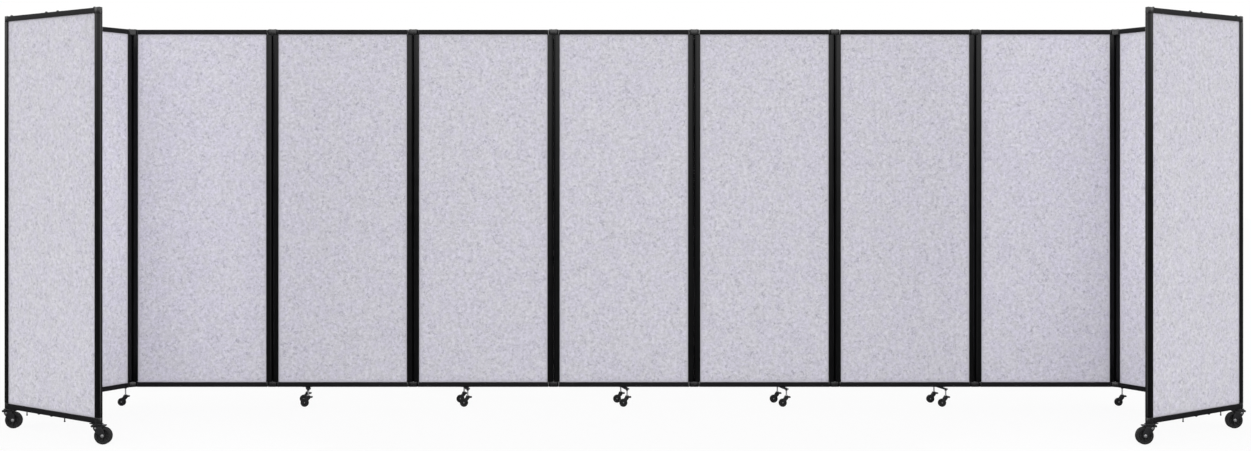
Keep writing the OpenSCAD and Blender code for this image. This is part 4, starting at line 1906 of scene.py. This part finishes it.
@dataclass
class SmallCaster:
    """Builds the small casters."""

    kit: PanelKit
    mounts: MountKit
    size: SmallSize = SmallSize()
    wheel: WheelSize = WheelSize(
        radius=0.024, width=0.013, tyre=0.004, rim=0.002, core_width=0.011, web=0.004, hub=0.006,
        hub_length=0.0146, bore=0.00255, ribs=6, grooves=(0.0,))

    def __post_init__(self) -> None:
        """Draws what every small caster shares."""
        self.axle = Matrix.Translation((self.size.trail, 0, self.wheel.radius))
        self.fork = self._fork()
        self.stem = self._stem()
        self.rivets = self._rivets()
        self.tyre = self.wheel.tyre_mesh()
        self.core = self.wheel.core_mesh(self.kit.repeater, self.kit.palette.plastic)

    def _leg(self) -> Outline:
        """Outline of a leg in X and Z.

        Returns:
            The outline.
        """
        s, r = self.size, self.wheel.radius
        eye = arc((s.trail, r), s.eye, 205, 370, 18)
        return [(-s.hood * 0.8, s.hood_top - 0.002), (-s.hood * 0.8, s.hood_low - 0.003), *eye,
                (s.hood + 0.003, s.hood_low + 0.003), (s.hood * 0.6, s.hood_top - 0.002)]

    def _fork(self) -> bpy.types.Mesh:
        """Fork with a round hood and a toe on its leading side.

        Returns:
            The mesh.
        """
        s, edge = self.size, 0.003
        shape = fork_legs(self._leg(), s.leg_inner, s.leg)
        shoulder = arc((s.hood - edge, s.hood_top - edge), edge, 0, 90, 6)
        hood = [(s.stem, s.hood_low), (s.hood - 0.0006, s.hood_low), (s.hood, s.hood_low + 0.0006), *shoulder,
                (s.stem + 0.0012, s.hood_top), (s.stem, s.hood_top - 0.001)]
        shape.revolve(hood, 40, ring=True)
        toe_z = s.hood_top - edge - s.toe_radius
        toe = [(0, toe_z + s.toe_radius), *arc((-s.toe, toe_z), s.toe_radius, 90, 270, 14),
               (0, toe_z - s.toe_radius)]
        shape.prism(toe, -s.leg_inner, s.leg_inner, ALONG_Y)
        return shape.data("small_fork", bevel=0.0006, segments=3)

    def _stem(self) -> bpy.types.Mesh:
        """Stem with a chamfered end, a grip groove and a nut.

        Returns:
            The mesh.
        """
        s = self.size
        top, neck = s.stem_top, s.stem - 0.0006
        profile = [(0, s.hood_low), (s.stem, s.hood_low), (s.stem, top - 0.006), (neck, top - 0.0052),
                   (neck, top - 0.0042), (s.stem, top - 0.0034), (s.stem, top - 0.0008),
                   (s.stem - 0.0008, top), (0, top)]
        shape = Shape().revolve(profile, 28)
        shape.prism(arc((0, 0), s.nut, 0, 300, 5), s.hood_top, s.hood_top + s.nut_height)
        return shape.data("small_stem", bevel=0.0002)

    def _rivets(self) -> bpy.types.Mesh:
        """Domed ends of the axle, with its shank between them.

        Returns:
            The mesh.
        """
        s = self.size
        reach = s.leg_inner + s.leg
        rivet = [(0, 0), (s.axle, 0), (s.axle, reach), (s.axle + 0.0009, reach),
                 (s.axle + 0.0008, reach + 0.0003), (s.axle * 0.6, reach + 0.0009), (0, reach + 0.001)]
        shape = Shape()
        for turn in BOTH_SIDES:
            shape.revolve(rivet, 24, self.axle @ turn @ ALONG_Y)
        return shape.data("small_rivets", bevel=0.0002)

    def build(self, number: int, side: Side) -> None:
        """Builds one small caster.

        Args:
            number: the panel's number.
            side: where it stands on the panel.
        """
        kit, mounts, m = self.kit, self.mounts, self.mounts.size
        along, across = mounts.single_along(number), 0.0
        if side is not Side.SINGLE:
            reach = 1 if side is Side.FRONT else -1
            along, across = mounts.pair_along(number) + reach * m.pair_shift, -reach * m.pair_reach
        where = kit.plan.stem_place(number, along, across, 180.0)
        name = f"panel_{number:02d}_{side.value}_caster"
        look = kit.palette
        for part, mesh, place, finish in (("hood", self.fork, where, look.paint),
                                          ("stem", self.stem, where, look.stem),
                                          ("rivets", self.rivets, where, look.worn_steel),
                                          ("tyre", self.tyre, where @ self.axle, look.rubber),
                                          ("core", self.core, where @ self.axle, look.plastic)):
            kit.dresser.piece(f"{name}_{part}", [(mesh, place)], finish, name, "caster_black", name)
        log.info("%s built", name)


# ---------------- stage


@dataclass(frozen=True)
class Studio:
    """Camera, floor and light.

    `gloss` is how bright the surroundings show in a gloss, below the horizon and above it, and `horizon` is
    the stretch over which the one passes into the other. The lamp's place and aim are measured from the row's
    middle, for the right corner, and the left corner's lamp mirrors it.
    """

    distance: float = 8.358
    eye: float = 1.434
    lens: float = 40.2
    shift: tuple[float, float] = (0.0013, -0.0484)
    world: float = 0.90
    sun: float = 0.42
    gloss: tuple[float, float] = (0.08, 2.2)
    horizon: tuple[float, float] = (0.025, 0.13)
    sun_way: tuple[float, float, float] = (-0.06, 1.0, -0.35)
    sun_width: float = 40.0
    lamp_at: tuple[float, float, float] = (1.7, -1.55, 1.15)
    lamp_aim: tuple[float, float, float] = (3.35, -0.45, 1.15)
    lamp_size: tuple[float, float] = (0.8, 2.4)
    lamp_power: float = 5.4
    lamp_spread: float = 90.0
    floor_half: float = 30.0
    floor_shown: float = 0.9

    def camera(self, row_y: float) -> None:
        """Sets the camera level, in front of the row's middle.

        Args:
            row_y: where the row stands.
        """
        data = bpy.data.cameras.new("camera")
        data.lens, data.sensor_width = self.lens, 36.0
        data.shift_x, data.shift_y = self.shift
        data.clip_end = 100.0
        made = bpy.data.objects.new("camera", data)
        made.location = (0, row_y - self.distance, self.eye)
        made.rotation_euler = (math.radians(90), 0, 0)
        bpy.context.scene.collection.objects.link(made)
        bpy.context.scene.camera = made

    @staticmethod
    def rays(graph: Graph) -> tuple[Value, Value]:
        """1 for what the camera sees, straight or in a gloss, and 1 for what it sees in a gloss.

        Args:
            graph: the shader that asks.

        Returns:
            Both values.
        """
        path = graph.node("ShaderNodeLightPath").outputs
        seen = [Value(graph, path[f"Is {kind} Ray"]) for kind in ("Camera", "Glossy", "Transmission")]
        return seen[0] + seen[1] + seen[2], seen[1]

    def sky(self) -> None:
        """Even light from all round, white to the camera, and in a gloss darker below the horizon."""
        world = bpy.data.worlds.new("studio")
        world.use_nodes = True
        graph = Graph(world.node_tree)
        shown, gloss = self.rays(graph)
        around = graph.node("ShaderNodeTexCoord").outputs["Generated"]
        way = graph.node("ShaderNodeSeparateXYZ", None, s0=around)
        low, high = self.gloss
        lift = Value(graph, way.outputs[2]).step(*self.horizon) * (high - low) + (low - 1.0)
        light = graph.node("ShaderNodeBackground", None, Color=(1.0, 1.0, 1.0), Strength=self.world)
        white = graph.node("ShaderNodeBackground", None, Color=(1.0, 1.0, 1.0), Strength=gloss * lift + 1.0)
        mixed = graph.node("ShaderNodeMixShader", None, s0=shown, s1=light.outputs[0], s2=white.outputs[0])
        graph.node("ShaderNodeOutputWorld", None, Surface=mixed.outputs[0])
        bpy.context.scene.world = world

    def floor(self) -> None:
        """Plain pale floor that keeps only a trace of the shadows."""
        material = bpy.data.materials.new("floor")
        material.use_nodes = True
        graph = Graph(material.node_tree)
        matt = graph.node("ShaderNodeBsdfDiffuse", None, Color=(0.9, 0.9, 0.9))
        shown, gloss = self.rays(graph)
        glow = graph.node("ShaderNodeEmission", None, Color=(1.0, 1.0, 1.0),
                          Strength=gloss * (self.gloss[0] - 1.0) + 1.0)
        mixed = graph.node("ShaderNodeMixShader", None, s0=shown * self.floor_shown, s1=matt.outputs[0],
                           s2=glow.outputs[0])
        graph.node("ShaderNodeOutputMaterial", None, Surface=mixed.outputs[0])
        half = self.floor_half
        mesh = Shape().box((-half, -half, -0.02), (half, half, 0.0)).data("floor")
        mesh.materials.append(material)
        made = bpy.data.objects.new("floor", mesh)
        bpy.context.scene.collection.objects.link(made)

    def corner_lamp(self, side: int, row_y: float) -> None:
        """Adds one soft area light inside a corner of the run.

        Args:
            side: 1 for the right corner, -1 for the left one.
            row_y: where the row stands.
        """
        place, aim = (Vector((side * x, row_y + y, z)) for x, y, z in (self.lamp_at, self.lamp_aim))
        data = bpy.data.lights.new("corner", "AREA")
        data.shape, data.energy, data.spread = "RECTANGLE", self.lamp_power, math.radians(self.lamp_spread)
        data.size, data.size_y = self.lamp_size
        made = bpy.data.objects.new("corner", data)
        made.visible_camera = False
        made.location = place
        made.rotation_euler = (aim - place).to_track_quat("-Z", "Y").to_euler()
        bpy.context.scene.collection.objects.link(made)

    def sunlight(self) -> None:
        """Adds soft light that falls from the front."""
        data = bpy.data.lights.new("sun", "SUN")
        data.energy, data.angle = self.sun, math.radians(self.sun_width)
        made = bpy.data.objects.new("sun", data)
        made.rotation_euler = Vector(self.sun_way).to_track_quat("-Z", "Y").to_euler()
        bpy.context.scene.collection.objects.link(made)

    def build(self, row_y: float) -> None:
        """Builds the stage.

        Args:
            row_y: where the row stands.
        """
        self.camera(row_y)
        self.sky()
        self.floor()
        self.sunlight()
        for side in (-1, 1):
            self.corner_lamp(side, row_y)
        bpy.context.scene.view_settings.view_transform = "Standard"


# ---------------- main


def check_plan(plan: RowPlan, panel: PanelSize) -> None:
    """Stops if the plan doesn't match the frame's boards.

    Args:
        plan: the row's plan.
        panel: sizes of a panel.
    """
    for number in range(1, plan.row.panels + 1):
        low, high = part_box(f"panel_{number:02d}_felt_board")
        place, cut = plan.panel_place(number), panel.cut
        ends = [place @ Vector((x, 0, 0)) for x in (cut, plan.span - cut)]
        middle = (ends[0] + ends[1]) / 2
        drift = max(abs(middle.x - (low.x + high.x) / 2), abs(middle.y - (low.y + high.y) / 2))
        if drift > 1e-4:
            raise ValueError(f"panel {number} stands {drift:.5f} m off the frame")


def main() -> None:
    """Builds the partition and its stage."""
    logging.basicConfig(level=logging.WARNING, format="%(name)s: %(message)s")
    row, panel, hinge = RowSize(), PanelSize(), HingeSize()
    plan = RowPlan(row, panel, hinge)
    check_plan(plan, panel)
    kit = PanelKit(plan, panel, hinge, Palette.build(), Repeater(), Dresser())
    mounts = MountKit(kit)
    links = LinkKit(plan, panel, hinge, kit.palette, kit.dresser)
    large = LargeCaster(kit, mounts.size)
    small = SmallCaster(kit, mounts)
    for number in range(1, row.panels + 1):
        kit.build(number)
    for number in range(1, row.panels):
        links.build(number)
    for number in (1, row.panels):
        links.build_caps(number)
        mounts.fittings(number)
        for place in Place:
            mounts.large_mount(number, place)
            large.build(number, place)
    for number in range(plan.middle - 2, plan.middle + 3):
        mounts.pair_bar(number)
        for side in (Side.FRONT, Side.BACK):
            small.build(number, side)
    for number in (2, row.panels - 1):
        mounts.single_socket(number)
        small.build(number, Side.SINGLE)
    Studio().build(plan.row_y)
    log.info("%s pieces", kit.dresser.count)


if __name__ == "__main__":
    main()
